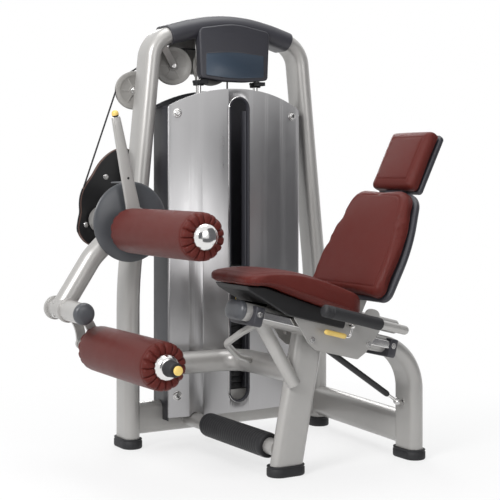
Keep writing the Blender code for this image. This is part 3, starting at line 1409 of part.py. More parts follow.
def thigh_lever():
    """The hold-down lever on the knee axis, with the plate that carries the thigh roller."""
    y = LEVER_BACK - LEVER_PLATE
    tip = Vector((LEVER_TIP[0], y + 0.006, LEVER_TIP[1]))
    root = Vector((AXIS_X, y + 0.006, AXIS_Z))
    along = (tip - root).normalized()
    side = along.cross(Y)
    bm = bmesh.new()
    rings = []
    for share, half, thick in ((0.06, 0.026, 0.006), (0.3, 0.023, 0.007), (0.6, 0.020, 0.0085),
                               (0.9, 0.0165, 0.0085), (1.0, 0.0150, 0.0080)):
        middle = root + (tip - root) * share
        rings.append([middle + side * a + Y * b for a, b in stadium(2 * half, 2 * thick, 5)])
    skin(bm, rings)
    lever = finish("thigh_lever", bm, PAINT)
    disc = rod("lever_disc", (AXIS_X, y, AXIS_Z), (AXIS_X, LEVER_BACK, AXIS_Z), 0.050, steps=24)
    crank = rod("lever_crank", (THIGH_X, y, THIGH_Z), (THIGH_X, LEVER_BACK, THIGH_Z), 0.038, steps=20)
    weld(lever, disc, crank)
    bore = rod("tip_bore", tip + along * 0.02, tip - along * 0.022, 0.0055 + RUN, steps=16)
    shaft_hole = rod("thigh_hole", (THIGH_X, y - 0.02, THIGH_Z), (THIGH_X, y + 0.006, THIGH_Z),
                     SHIN_SHAFT_RADIUS + GAP, steps=16)
    cut(lever, bore, shaft_hole)
    start = tip + along * GAP
    button = [(-0.015, 0), (-0.015, 0.0055), (0.005, 0.0055), (0.005, 0.0115), (0.015, 0.0110),
              (0.021, 0.0070), (0.022, 0.0)]
    lathe("lever_button", button, start, along, YELLOW, hidden=False, steps=14)
    low = THIGH_ROLLER_ENDS[0]
    reach = y + 0.006 - GAP - low
    shaft = [
        (reach, 0), (reach, SHIN_SHAFT_RADIUS), (-GAP, SHIN_SHAFT_RADIUS), (-GAP, 0.040), (-0.004, 0.0395),
        (-0.014, 0.0345), (-0.022, 0.0250), (-0.026, 0.0130), (-0.027, 0.0),
    ]
    lathe("thigh_shaft", shaft, (THIGH_X, low, THIGH_Z), Y, CHROME, hidden=False, steps=16)


# ---------------------------------------------------------------- assembly

def build():
    arch, arch_cut, beam = frame_tubes()
    step_pad()
    beam_end_cap()
    rails()
    rail_brackets(beam)
    carriage()
    seat_pan()
    handles()
    lock_lever()
    strut()
    seat_pad()
    back_pads()
    back_shell()
    front_shroud()
    slot_trim()
    rear_cover()
    guide_rods()
    top_z = weight_stack()
    head_cover(arch_cut)
    placard()
    head_bracket(arch)
    pulleys_and_cable(top_z)
    axle_housing(arch_cut)
    cam()
    dome_cover(arch_cut)
    movement_arm()
    shin_bracket()
    shin_hub()
    rollers()
    thigh_lever()


build()
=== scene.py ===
"""Looks of a seated leg curl machine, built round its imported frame.

Metres, +Z up. The user sits at +X and faces -X. SEAT_Y is the seat's middle plane and
TOWER_Y the tower's. Sizes repeat those of the CAD source, which this script can't read.
"""

import itertools
import math

import bmesh
import bpy
from bpy.props import FloatProperty, FloatVectorProperty, IntProperty, PointerProperty
from mathutils import Matrix, Vector, noise
from mathutils.bvhtree import BVHTree


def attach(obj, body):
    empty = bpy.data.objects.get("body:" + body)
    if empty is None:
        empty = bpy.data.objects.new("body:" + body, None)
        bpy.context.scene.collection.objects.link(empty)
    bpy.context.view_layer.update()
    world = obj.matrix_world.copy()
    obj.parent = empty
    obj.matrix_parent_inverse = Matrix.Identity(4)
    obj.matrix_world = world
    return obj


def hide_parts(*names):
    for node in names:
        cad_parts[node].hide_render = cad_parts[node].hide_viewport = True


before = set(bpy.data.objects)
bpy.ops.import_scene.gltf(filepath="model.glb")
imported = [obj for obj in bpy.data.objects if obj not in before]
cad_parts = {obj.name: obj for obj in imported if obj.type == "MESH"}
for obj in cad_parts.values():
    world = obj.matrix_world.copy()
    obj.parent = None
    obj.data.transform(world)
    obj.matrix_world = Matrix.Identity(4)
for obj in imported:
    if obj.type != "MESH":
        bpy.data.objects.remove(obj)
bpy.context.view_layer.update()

bl_info = {
    "name": "Seated leg curl machine",
    "version": (1, 0, 0),
    "blender": (4, 5, 0),
    "location": "3D View > Sidebar > Leg curl",
    "description": "Dresses the packed frame of a seated leg curl machine",
    "category": "Object",
}

X = Vector((1, 0, 0))
Y = Vector((0, 1, 0))
Z = Vector((0, 0, 1))

# Tower and frame tubes
TUBE_WIDE = 0.110
TUBE_THIN = 0.056
TOWER_X = 0.144
TOWER_Y = 0.374
ARCH_HALF = 0.386
ARCH_BEND_Z = 0.550
SHOULDER_HALF = 0.300
SHOULDER_Z = 1.402
CROWN_HALF = 0.170
CROWN_SIDE_Z = 1.440
CROWN_Z = 1.476
BASE_Z = 0.095
FOOT_FLOOR = 0.022
LINK_Y = 0.241
LINK_Z = 0.293
STEP_X = -0.020
STEP_Z = 0.082
STEP_ENDS = (-0.190, 0.204)
STEP_RADIUS = 0.040
STEP_PIPE = 0.026
BRACE_PIPE = 0.021
LINK_PIPE = 0.038

# Seat beam
SEAT_Y = -0.250
BEAM_X = -0.172
BEAM_Z = 0.5217
BEAM_TILT = math.radians(14.45)
REAR_LEG_X = 0.485
FRONT_LEG_X = 0.001
FRONT_LEG_LEAN = 0.196
RAIL_ENDS = (0.052, 0.540)

# Shroud, stack and head
SHROUD_HALF = 0.268
SHROUD_EDGE_Y = 0.303
SHROUD_BULGE = 0.024
SHROUD_LOW = 0.097
SHROUD_CORNER_Z = 1.170
SHROUD_TOP_Z = 1.236
SLOT_HALF = 0.0385
SLOT_ENDS = (0.135, 1.204)
STACK_Y = 0.362
STACK_FLOOR = 0.172
PLATE_PITCH = 0.0225
PLATE_HALF_X = 0.175
PLATE_HALF_Y = 0.050
RESTING_PLATES = 14
PICKED_PLATES = 4
PICKED_LOW = STACK_FLOOR + RESTING_PLATES * PLATE_PITCH + 0.0005
PICKED_HIGH = PICKED_LOW + PICKED_PLATES * PLATE_PITCH
STEM_TALL = 0.085
ROD_OFF = 0.117
HEAD_LOW = 1.262
HEAD_FRONT_Y = 0.305
TRAY_HALF = 0.140
PLACARD_HALF = 0.118
CABLE_RADIUS = 0.003
GROOVE_RADIUS = 0.0575

# Knee axis, arm and rollers
AXIS = Vector((-0.311, 0, 0.778))
DOME_FRONT = 0.196
DOME_DEEP = 0.1224
DOME_RADIUS = 0.1326
CAM_Y = 0.471
CAM_EDGE = (
    (-150, 0.085), (-95, 0.095), (-45, 0.090), (0, 0.100), (30, 0.165), (48, 0.235), (58, 0.262),
    (68, 0.269), (76, 0.248), (86, 0.207), (98, 0.156), (115, 0.124), (153, 0.075), (180, 0.072),
    (210, 0.085), (265, 0.095), (315, 0.090),
)
ARM_Y = 0.252
BAR = Vector((-0.538, 0, 0.500))
SHIN = Vector((-0.446, 0, 0.377))
THIGH = Vector((-0.341, 0, 0.752))
SHIN_ENDS = (-0.309, 0.176)
THIGH_ENDS = (-0.350, 0.158)
ROLLER_RADIUS = 0.0725
LEVER_Y = 0.172

# Seat parts
BACK = Vector((0.205, 0, 0.560))
BACK_TILT = math.radians(27.0)
PAD_THICK = 0.044
SEAT_TOP = ((-0.215, 0.626), (-0.185, 0.634), (-0.130, 0.637), (-0.050, 0.632), (0.020, 0.614),
            (0.175, 0.556))
SEAT_LOW = ((-0.215, 0.6035), (-0.200, 0.6045), (-0.130, 0.600), (-0.050, 0.5705), (0.020, 0.545),
            (0.175, 0.4895))
SEAT_CORNERS = ((-0.214, 0.144), (-0.214, -0.144), (0.170, -0.205), (0.170, 0.205))
BACK_CORNERS = (
    (-0.194, 0.0), (0.194, 0.0), (0.200, 0.190), (0.140, 0.372), (-0.140, 0.372), (-0.200, 0.190),
)
BACK_RADII = (0.035, 0.035, 0.45, 0.070, 0.070, 0.45)
HEAD_CORNERS = ((-0.108, 0.384), (0.108, 0.384), (0.108, 0.596), (-0.108, 0.596))
HEAD_RADII = (0.014, 0.014, 0.014, 0.014)
LEAST_RADIUS = 0.006
HANDLE_OFF = 0.245
HANDLE_RISE = 0.050
STRUT_TOP = Vector((0.0963, -0.312, 0.4009))
STRUT_FOOT = Vector((0.440, SEAT_Y, 0.185))
CUSHION_VOXEL = 0.006
AIR_FRAMES = 20


# ---------------------------------------------------------------- settings

def colour(name, text, value):
    return FloatVectorProperty(name=name, description=text, subtype="COLOR", size=3, min=0, max=1,
                               default=value)


def length(name, text, value):
    return FloatProperty(name=name, description=text, unit="LENGTH", min=0, default=value)


class CurlColours(bpy.types.PropertyGroup):
    """The colour of each finish."""

    paint: colour("Frame paint", "Satin silver-grey powder coat", (0.43, 0.42, 0.405))
    steel: colour("Shroud steel", "Brushed stainless sheet", (0.42, 0.415, 0.42))
    chrome: colour("Chrome", "Polished rods and caps", (0.78, 0.77, 0.76))
    plastic: colour("Dark plastic", "Head cover, shells and tower sides", (0.036, 0.036, 0.044))
    grey: colour("Grey plastic", "Dome and end caps", (0.072, 0.076, 0.084))
    pulley: colour("Pulley grey", "Moulded pulley faces", (0.30, 0.29, 0.275))
    rubber: colour("Rubber", "Feet, grips and step pad", (0.011, 0.011, 0.013))
    # Black iron's own colour, set darker still as painted shade for the seat pan, which lies in shadow.
    iron: colour("Black iron", "Weight plates and brackets", (0.010, 0.010, 0.011))
    leather: colour("Leather", "Maroon vinyl leather", (0.104, 0.013, 0.009))
    yellow: colour("Yellow", "Touch points", (0.84, 0.60, 0.17))
    placard: colour("Placard", "Bare placard", (0.036, 0.055, 0.082))
    lining: colour("Cam lining", "Strip on the cam's edge", (0.085, 0.045, 0.035))


class CurlSizes(bpy.types.PropertyGroup):
    """Sizes that a maker may change."""

    weld: length("Weld bead", "Radius of a weld bead", 0.0026)
    seam: length("Seam inset", "Distance of the top seam from a cushion's edge", 0.030)
    stitch: length("Stitch", "Length of one stitch", 0.0060)
    swell: length("Swell", "Furthest that a cushion's cover may move in the simulation", 0.010)
    pressure: FloatProperty(name="Pressure", description="Air pressure in a cushion", min=0, default=4.0)
    pleats: IntProperty(name="Pleats", description="Folds at each end of a roller", min=4, default=16)


# ---------------------------------------------------------------- outlines and paths

def arc(centre, radius, start, end, steps):
    points = []
    for k in range(steps + 1):
        angle = math.radians(start + (end - start) * k / steps)
        points.append((centre[0] + radius * math.cos(angle), centre[1] + radius * math.sin(angle)))
    return points


def circle(radius, steps=48):
    return arc((0, 0), radius, 0, 360 - 360 / steps, steps - 1)


def stadium(wide, thin, steps=14):
    """A flat oval: two half circles joined by flats, long along the first axis."""
    reach = (wide - thin) / 2
    return arc((reach, 0), thin / 2, -90, 90, steps) + arc((-reach, 0), thin / 2, 90, 270, steps)


def rounded(corners, radii, steps=8):
    """A polygon with each corner rounded by its own radius."""
    outline = []
    count = len(corners)
    for k, (corner, radius) in enumerate(zip(corners, radii)):
        here = Vector(corner)
        back = (Vector(corners[k - 1]) - here).normalized()
        on = (Vector(corners[(k + 1) % count]) - here).normalized()
        if radius <= 0:
            outline.append(tuple(here))
            continue
        half = back.angle(on) / 2
        centre = here + (back + on).normalized() * (radius / math.sin(half))
        first = here + back * (radius / math.tan(half)) - centre
        last = here + on * (radius / math.tan(half)) - centre
        for n in range(steps + 1):
            outline.append(tuple(centre + first.slerp(last, n / steps) * radius))
    return outline


def bent_path(points, radii, most=math.radians(3)):
    """A path in space with each inner corner bent to its own radius, in turns of no more than most."""
    points = [Vector(p) for p in points]
    path = [points[0]]
    for k, radius in enumerate(radii, start=1):
        into = (points[k] - points[k - 1]).normalized()
        out = (points[k + 1] - points[k]).normalized()
        angle = into.angle(out)
        side = (out - into * into.dot(out)).normalized()
        start = points[k] - into * (radius * math.tan(angle / 2))
        steps = max(2, math.ceil(angle / most))
        for n in range(steps + 1):
            a = angle * n / steps
            path.append(start + into * (radius * math.sin(a)) + side * (radius * (1 - math.cos(a))))
    path.append(points[-1])
    return path


def spread(outline, step):
    """Adds points along the long sides."""
    points = []
    for k, point in enumerate(outline):
        here = Vector(point)
        there = Vector(outline[(k + 1) % len(outline)])
        count = max(1, round((there - here).length / step))
        points += [tuple(here.lerp(there, n / count)) for n in range(count)]
    return points


def inset(outline, distance):
    """Moves each point of an outline in along the bisector of its neighbours."""
    moved = []
    count = len(outline)
    for k, point in enumerate(outline):
        here = Vector(point)
        along = (Vector(outline[(k + 1) % count]) - Vector(outline[k - 1])).normalized()
        moved.append(tuple(here + Vector((-along.y, along.x)) * distance))
    return moved


def inset_corners(corners, distance):
    """A polygon's corners once each side has moved in by the same distance."""
    moved = []
    count = len(corners)
    for k, corner in enumerate(corners):
        here = Vector(corner)
        into = (here - Vector(corners[k - 1])).normalized()
        out = (Vector(corners[(k + 1) % count]) - here).normalized()
        first = Vector((-into.y, into.x))
        last = Vector((-out.y, out.x))
        moved.append(tuple(here + (first + last) * (distance / (1 + first.dot(last)))))
    return moved


class PadShape:
    """A pad's outline, which can be moved in without crossing itself, and how full it is inside."""

    def __init__(self, corners, radii, steps=8, cell=0.012):
        self.corners = corners
        self.radii = radii
        self.steps = steps
        edge = rounded(corners, radii, steps)
        self.counts = []
        for k, point in enumerate(edge):
            gap = (Vector(edge[(k + 1) % len(edge)]) - Vector(point)).length
            self.counts.append(max(1, round(gap / cell)))

    def ring(self, distance):
        inner = [max(radius - distance, LEAST_RADIUS) for radius in self.radii]
        rough = rounded(inset_corners(self.corners, distance), inner, self.steps)
        points = []
        for k, count in enumerate(self.counts):
            here = Vector(rough[k])
            there = Vector(rough[(k + 1) % len(rough)])
            points += [tuple(here.lerp(there, n / count)) for n in range(count)]
        return points

    def fullness(self, point):
        """From 0 at the edge to 1 well inside, with no crease where two sides meet."""
        full = 1.0
        for k, corner in enumerate(self.corners):
            here = Vector(corner)
            along = (Vector(self.corners[(k + 1) % len(self.corners)]) - here).normalized()
            off = (Vector(point) - here).dot(Vector((-along.y, along.x)))
            full *= 1 - math.exp(-max(off - 0.016, 0.0) / 0.034)
        return full


def smooth_line(knots, x):
    """The value at x on a smooth line through (x, value) knots, by Catmull-Rom slopes."""
    for k in range(len(knots) - 1):
        if x <= knots[k + 1][0] or k == len(knots) - 2:
            break
    (x0, z0), (x1, z1) = knots[k], knots[k + 1]
    before = knots[max(k - 1, 0)]
    after = knots[min(k + 2, len(knots) - 1)]
    slope0 = (z1 - before[1]) / (x1 - before[0])
    slope1 = (after[1] - z0) / (after[0] - x0)
    span = x1 - x0
    t = (x - x0) / span
    return (
        (2 * t ** 3 - 3 * t ** 2 + 1) * z0 + (t ** 3 - 2 * t ** 2 + t) * span * slope0
        + (3 * t ** 2 - 2 * t ** 3) * z1 + (t ** 3 - t ** 2) * span * slope1
    )


def on_beam(u, y, v):
    """A point in the beam's own frame: U down the slope, V up from it."""
    return Vector((BEAM_X, 0, BEAM_Z)) + Matrix.Rotation(BEAM_TILT, 3, "Y") @ Vector((u, y, v))


def on_back(depth, y, up):
    """A point in the back's frame: depth out behind it, up along it."""
    return BACK + Matrix.Rotation(BACK_TILT, 3, "Y") @ Vector((depth, y, up))


def flat(u, y, v):
    """A point in the world's own frame."""
    return Vector((u, y, v))


# ---------------------------------------------------------------- mesh building

def skin(bm, rings, closed=False, caps=True):
    """Joins equal rings of points with faces, and closes both ends."""
    made = [[bm.verts.new(p) for p in ring] for ring in rings]
    pairs = list(zip(made, made[1:]))
    if closed:
        pairs.append((made[-1], made[0]))
    for low, high in pairs:
        for k in range(len(low)):
            n = (k + 1) % len(low)
            bm.faces.new((low[k], low[n], high[n], high[k]))
    if caps and not closed:
        bm.faces.new(list(reversed(made[0])))
        bm.faces.new(made[-1])


def sweep(bm, outline, path, side, share=None):
    """Carries an outline along a path. side is the outline's first axis at the start."""
    path = [Vector(p) for p in path]
    first = Vector(side)
    rings = []
    for k, point in enumerate(path):
        ahead = path[min(k + 1, len(path) - 1)] - point
        behind = point - path[max(k - 1, 0)]
        along = (ahead.normalized() + behind.normalized()).normalized()
        first = (first - along * first.dot(along)).normalized()
        second = along.cross(first)
        grow = share[k] if share else 1.0
        rings.append([point + (first * a + second * b) * grow for a, b in outline])
    skin(bm, rings)


def bar(bm, start, end, radius, steps=48, edge=0.0):
    """A straight round bar, with a rounded edge at both ends if edge is given."""
    along = (Vector(end) - Vector(start)).normalized()
    long = (Vector(end) - Vector(start)).length
    profile = [(0, radius), (long, radius)]
    if edge:
        profile = [(0, radius - edge), (edge * 0.3, radius - edge * 0.3), (edge, radius)]
        profile += [(long - edge, radius), (long - edge * 0.3, radius - edge * 0.3), (long, radius - edge)]
    turn(bm, profile, start, along, steps)


def turn(bm, profile, start, axis, steps=64, closed=False):
    """Turns a profile of (distance along the axis, radius) about an axis."""
    axis = Vector(axis).normalized()
    first = (Z if abs(axis.z) < 0.9 else X).cross(axis).normalized()
    second = axis.cross(first)
    rings = []
    for along, radius in profile:
        centre = Vector(start) + axis * along
        rings.append([
            centre + (first * math.cos(a) + second * math.sin(a)) * max(radius, 1e-6)
            for a in (math.tau * k / steps for k in range(steps))
        ])
    skin(bm, rings, closed=closed)


def slab(bm, outline, low, high, plane="XZ", place=flat):
    """An outline given thickness along the third axis, in the world or in a frame of its own."""
    order = {
        "XY": lambda a, b, d: place(a, b, d),
        "XZ": lambda a, b, d: place(a, d, b),
        "YZ": lambda a, b, d: place(d, a, b),
    }[plane]
    skin(bm, [[order(a, b, low) for a, b in outline], [order(a, b, high) for a, b in outline]])


def block(bm, low, high, place=flat):
    corners = [(low[0], low[1]), (high[0], low[1]), (high[0], high[1]), (low[0], high[1])]
    slab(bm, corners, low[2], high[2], "XY", place)


def hexagon(radius):
    return arc((0, 0), radius, 30, 330, 5)


def hex_head(bm, centre, out, radius=0.008, tall=0.005):
    """A hexagon head on a washer."""
    out = Vector(out).normalized()
    turn(bm, [(0, radius * 1.35), (0.0009, radius * 1.35), (0.0013, radius * 1.28)], centre, out, 32)
    first = (Z if abs(out.z) < 0.9 else X).cross(out).normalized()
    second = out.cross(first)
    rings = []
    for along, share in ((0.001, 1.0), (tall - 0.0008, 1.0), (tall, 0.90)):
        rings.append([Vector(centre) + out * along + (first * a + second * b) * share
                      for a, b in hexagon(radius)])
    skin(bm, rings)


def cap_screw(bm, centre, out, radius=0.0095, tall=0.005):
    """A domed socket screw on a washer, with its hexagon socket sunk in the head."""
    turn(bm, [
        (0, radius * 1.30), (0.0010, radius * 1.30), (0.0016, radius * 1.20), (0.0016, radius),
        (tall * 0.55, radius * 0.97), (tall * 0.85, radius * 0.80), (tall, radius * 0.55),
    ], centre, out, 40)
    out = Vector(out).normalized()
    first = (Z if abs(out.z) < 0.9 else X).cross(out).normalized()
    second = out.cross(first)
    rings = []
    for along, share in ((tall, 0.62), (tall + 0.0006, 0.58), (tall + 0.0006, 0.50), (tall - 0.0012, 0.46)):
        rings.append([Vector(centre) + out * along + (first * a + second * b) * share
                      for a, b in hexagon(radius)])
    skin(bm, rings)


def bead_ring(bm, ring, direction, tree, radius):
    """A rippled weld bead where a tube's outline, thrown along a direction, meets a surface."""
    path = []
    for point in ring:
        hit, normal, _, _ = tree.ray_cast(Vector(point), Vector(direction).normalized(), 0.4)
        if hit:
            path.append((hit, normal))
    if len(path) < len(ring):
        return
    fine = []
    for k, (point, normal) in enumerate(path):
        after, turned = path[(k + 1) % len(path)]
        count = max(1, round((after - point).length / 0.0022))
        fine += [(point.lerp(after, n / count),
                  normal.lerp(turned, n / count).normalized()) for n in range(count)]
    rings = []
    for k, (point, normal) in enumerate(fine):
        along = (fine[(k + 1) % len(fine)][0] - fine[k - 1][0]).normalized()
        side = along.cross(normal).normalized()
        size = radius * (1.10 if k % 2 else 0.90)
        rings.append([point + (normal * b + side * a) * size for a, b in circle(1.0, 8)])
    skin(bm, rings, closed=True)


def shade(mesh, angle):
    mesh.polygons.foreach_set("use_smooth", [True] * len(mesh.polygons))
    mesh.set_sharp_from_angle(angle=math.radians(angle))


def solid(name, bm, angle=35):
    bmesh.ops.remove_doubles(bm, verts=bm.verts, dist=1e-6)
    bmesh.ops.recalc_face_normals(bm, faces=bm.faces)
    mesh = bpy.data.meshes.new(name)
    bm.to_mesh(mesh)
    bm.free()
    obj = bpy.data.objects.new(name, mesh)
    bpy.context.scene.collection.objects.link(obj)
    shade(mesh, angle)
    return obj


def settle(obj, angle=35):
    """Applies every modifier of an object."""
    graph = bpy.context.evaluated_depsgraph_get()
    mesh = bpy.data.meshes.new_from_object(obj.evaluated_get(graph))
    obj.modifiers.clear()
    obj.data = mesh
    shade(mesh, angle)
    return obj


def boolean(obj, other, operation):
    made = obj.modifiers.new(operation.lower(), "BOOLEAN")
    made.operation = operation
    made.object = other
    made.solver = "EXACT"
    made.use_self = True
    settle(obj)
    bpy.data.objects.remove(other)
    return obj


def soften(obj, width, segments=3, angle=32):
    """Rounds the sharp edges of a piece."""
    made = obj.modifiers.new("edges", "BEVEL")
    made.width = width
    made.segments = segments
    made.limit_method = "ANGLE"
    made.angle_limit = math.radians(angle)
    made.harden_normals = True
    made.miter_outer = "MITER_ARC"
    return settle(obj, 60)


def dress(obj, finish, body, *nodes, slot=True):
    """Gives a piece its finish and its body, and hides the nodes that it stands for."""
    obj.data.materials.clear()
    obj.data.materials.append(FINISH[finish])
    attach(obj, body)
    if nodes:
        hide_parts(*nodes)
    return obj


class Piece:
    """Hands out an empty mesh, and dresses what was built in it when its block ends."""

    def __init__(self, name, finish, body, *nodes, angle=35, slot=True):
        self.name = name
        self.looks = (finish, body, *nodes)
        self.angle = angle
        self.slot = slot

    def __enter__(self):
        self.bm = bmesh.new()
        return self.bm

    def __exit__(self, error, *_):
        if error is None:
            dress(solid(self.name, self.bm, self.angle), *self.looks, slot=self.slot)


def cut(obj, operation, draw, *values):
    """Cuts or keeps what a drawing function makes in an empty mesh."""
    bm = bmesh.new()
    draw(bm, *values)
    boolean(obj, solid("cutter", bm), operation)


# ---------------------------------------------------------------- shader parts

FINISH = {}


def node(tree, kind, **values):
    made = tree.nodes.new(kind)
    for key, value in values.items():
        if hasattr(made, key):
            setattr(made, key, value)
        else:
            made.inputs[key.replace("_", " ")].default_value = value
    return made


def group(name, inputs, outputs):
    """An empty node group with its inputs and outputs, and its two end nodes."""
    tree = bpy.data.node_groups.new(name, "ShaderNodeTree")
    for label, kind, value in inputs:
        socket = tree.interface.new_socket(label, in_out="INPUT", socket_type=kind)
        socket.default_value = value
    for label, kind in outputs:
        tree.interface.new_socket(label, in_out="OUTPUT", socket_type=kind)
    return tree, tree.nodes.new("NodeGroupInput"), tree.nodes.new("NodeGroupOutput")


def maths(tree, operation, first, second):
    made = tree.nodes.new("ShaderNodeMath")
    made.operation = operation
    for k, value in enumerate((first, second)):
        if isinstance(value, (int, float)):
            made.inputs[k].default_value = value
        else:
            tree.links.new(value, made.inputs[k])
    return made.outputs[0]


def object_point(tree):
    return tree.nodes.new("ShaderNodeTexCoord").outputs["Object"]


def group_mottle():
    """Soft clouds at two scales: a tone for colour and one for roughness."""
    tree, into, out = group(
        "Mottle", [("Scale", "NodeSocketFloat", 9.0), ("Detail", "NodeSocketFloat", 4.0)],
        [("Tone", "NodeSocketFloat"), ("Smudge", "NodeSocketFloat")])
    point = object_point(tree)
    tone = node(tree, "ShaderNodeTexNoise")
    tree.links.new(point, tone.inputs["Vector"])
    tree.links.new(into.outputs["Scale"], tone.inputs["Scale"])
    tree.links.new(into.outputs["Detail"], tone.inputs["Detail"])
    smudge = node(tree, "ShaderNodeTexNoise", Detail=6.0, Roughness=0.62, Distortion=0.4)
    tree.links.new(point, smudge.inputs["Vector"])
    tree.links.new(maths(tree, "MULTIPLY", into.outputs["Scale"], 3.3), smudge.inputs["Scale"])
    tree.links.new(tone.outputs["Fac"], out.inputs["Tone"])
    tree.links.new(smudge.outputs["Fac"], out.inputs["Smudge"])
    return tree


def group_grain():
    """Fine pebble of powder coat and moulded plastic, as a height."""
    tree, into, out = group(
        "Fine grain", [("Scale", "NodeSocketFloat", 900.0), ("Wave", "NodeSocketFloat", 0.3)],
        [("Height", "NodeSocketFloat")])
    point = object_point(tree)
    fine = node(tree, "ShaderNodeTexNoise", Detail=2.0)
    coarse = node(tree, "ShaderNodeTexNoise", Detail=1.0)
    tree.links.new(point, fine.inputs["Vector"])
    tree.links.new(point, coarse.inputs["Vector"])
    tree.links.new(into.outputs["Scale"], fine.inputs["Scale"])
    tree.links.new(maths(tree, "MULTIPLY", into.outputs["Scale"], 0.12), coarse.inputs["Scale"])
    wave = maths(tree, "MULTIPLY", coarse.outputs["Fac"], into.outputs["Wave"])
    tree.links.new(maths(tree, "ADD", fine.outputs["Fac"], wave), out.inputs["Height"])
    return tree


def group_wear():
    """A mask along proud edges, broken up by noise."""
    tree, into, out = group("Edge wear", [("Amount", "NodeSocketFloat", 0.5)], [("Mask", "NodeSocketFloat")])
    edge = tree.nodes.new("ShaderNodeNewGeometry").outputs["Pointiness"]
    broken = node(tree, "ShaderNodeTexNoise", Scale=60.0, Detail=5.0)
    tree.links.new(object_point(tree), broken.inputs["Vector"])
    ramp = node(tree, "ShaderNodeMapRange")
    ramp.inputs["From Min"].default_value = 0.56
    ramp.inputs["From Max"].default_value = 0.70
    tree.links.new(edge, ramp.inputs["Value"])
    mask = maths(tree, "MULTIPLY", ramp.outputs["Result"], broken.outputs["Fac"])
    tree.links.new(maths(tree, "MULTIPLY", mask, into.outputs["Amount"]), out.inputs["Mask"])
    return tree


def group_brush():
    """Long fine lines, stretched along one axis, for brushed and drawn metal."""
    tree, into, out = group(
        "Brush lines", [("Stretch", "NodeSocketVector", (1.0, 1.0, 0.01)),
                        ("Scale", "NodeSocketFloat", 700.0)],
        [("Lines", "NodeSocketFloat"), ("Bands", "NodeSocketFloat")])
    stretched = node(tree, "ShaderNodeVectorMath", operation="MULTIPLY")
    tree.links.new(object_point(tree), stretched.inputs[0])
    tree.links.new(into.outputs["Stretch"], stretched.inputs[1])
    lines = node(tree, "ShaderNodeTexNoise", Detail=3.0, Roughness=0.7)
    bands = node(tree, "ShaderNodeTexNoise", Detail=2.0)
    tree.links.new(stretched.outputs[0], lines.inputs["Vector"])
    tree.links.new(stretched.outputs[0], bands.inputs["Vector"])
    tree.links.new(into.outputs["Scale"], lines.inputs["Scale"])
    tree.links.new(maths(tree, "MULTIPLY", into.outputs["Scale"], 0.06), bands.inputs["Scale"])
    tree.links.new(lines.outputs["Fac"], out.inputs["Lines"])
    tree.links.new(bands.outputs["Fac"], out.inputs["Bands"])
    return tree


def group_leather():
    """Pebbled vinyl leather: cells with soft creases between them, and wider wrinkles."""
    tree, into, out = group(
        "Leather grain", [("Scale", "NodeSocketFloat", 330.0)],
        [("Height", "NodeSocketFloat"), ("Crease", "NodeSocketFloat")])
    point = object_point(tree)
    bent = node(tree, "ShaderNodeTexNoise", Scale=160.0, Detail=2.0)
    tree.links.new(point, bent.inputs["Vector"])
    shift = node(tree, "ShaderNodeVectorMath", operation="SCALE")
    tree.links.new(bent.outputs["Color"], shift.inputs[0])
    shift.inputs["Scale"].default_value = 0.003
    moved = node(tree, "ShaderNodeVectorMath", operation="ADD")
    tree.links.new(point, moved.inputs[0])
    tree.links.new(shift.outputs[0], moved.inputs[1])
    cells = node(tree, "ShaderNodeTexVoronoi", feature="DISTANCE_TO_EDGE")
    tree.links.new(moved.outputs[0], cells.inputs["Vector"])
    tree.links.new(into.outputs["Scale"], cells.inputs["Scale"])
    ramp = node(tree, "ShaderNodeMapRange")
    ramp.interpolation_type = "SMOOTHSTEP"
    ramp.inputs["From Max"].default_value = 0.16
    tree.links.new(cells.outputs["Distance"], ramp.inputs["Value"])
    wide = node(tree, "ShaderNodeTexNoise", Scale=38.0, Detail=4.0)
    tree.links.new(point, wide.inputs["Vector"])
    wrinkle = maths(tree, "MULTIPLY", wide.outputs["Fac"], 0.7)
    tree.links.new(maths(tree, "ADD", ramp.outputs["Result"], wrinkle), out.inputs["Height"])
    tree.links.new(ramp.outputs["Result"], out.inputs["Crease"])
    return tree


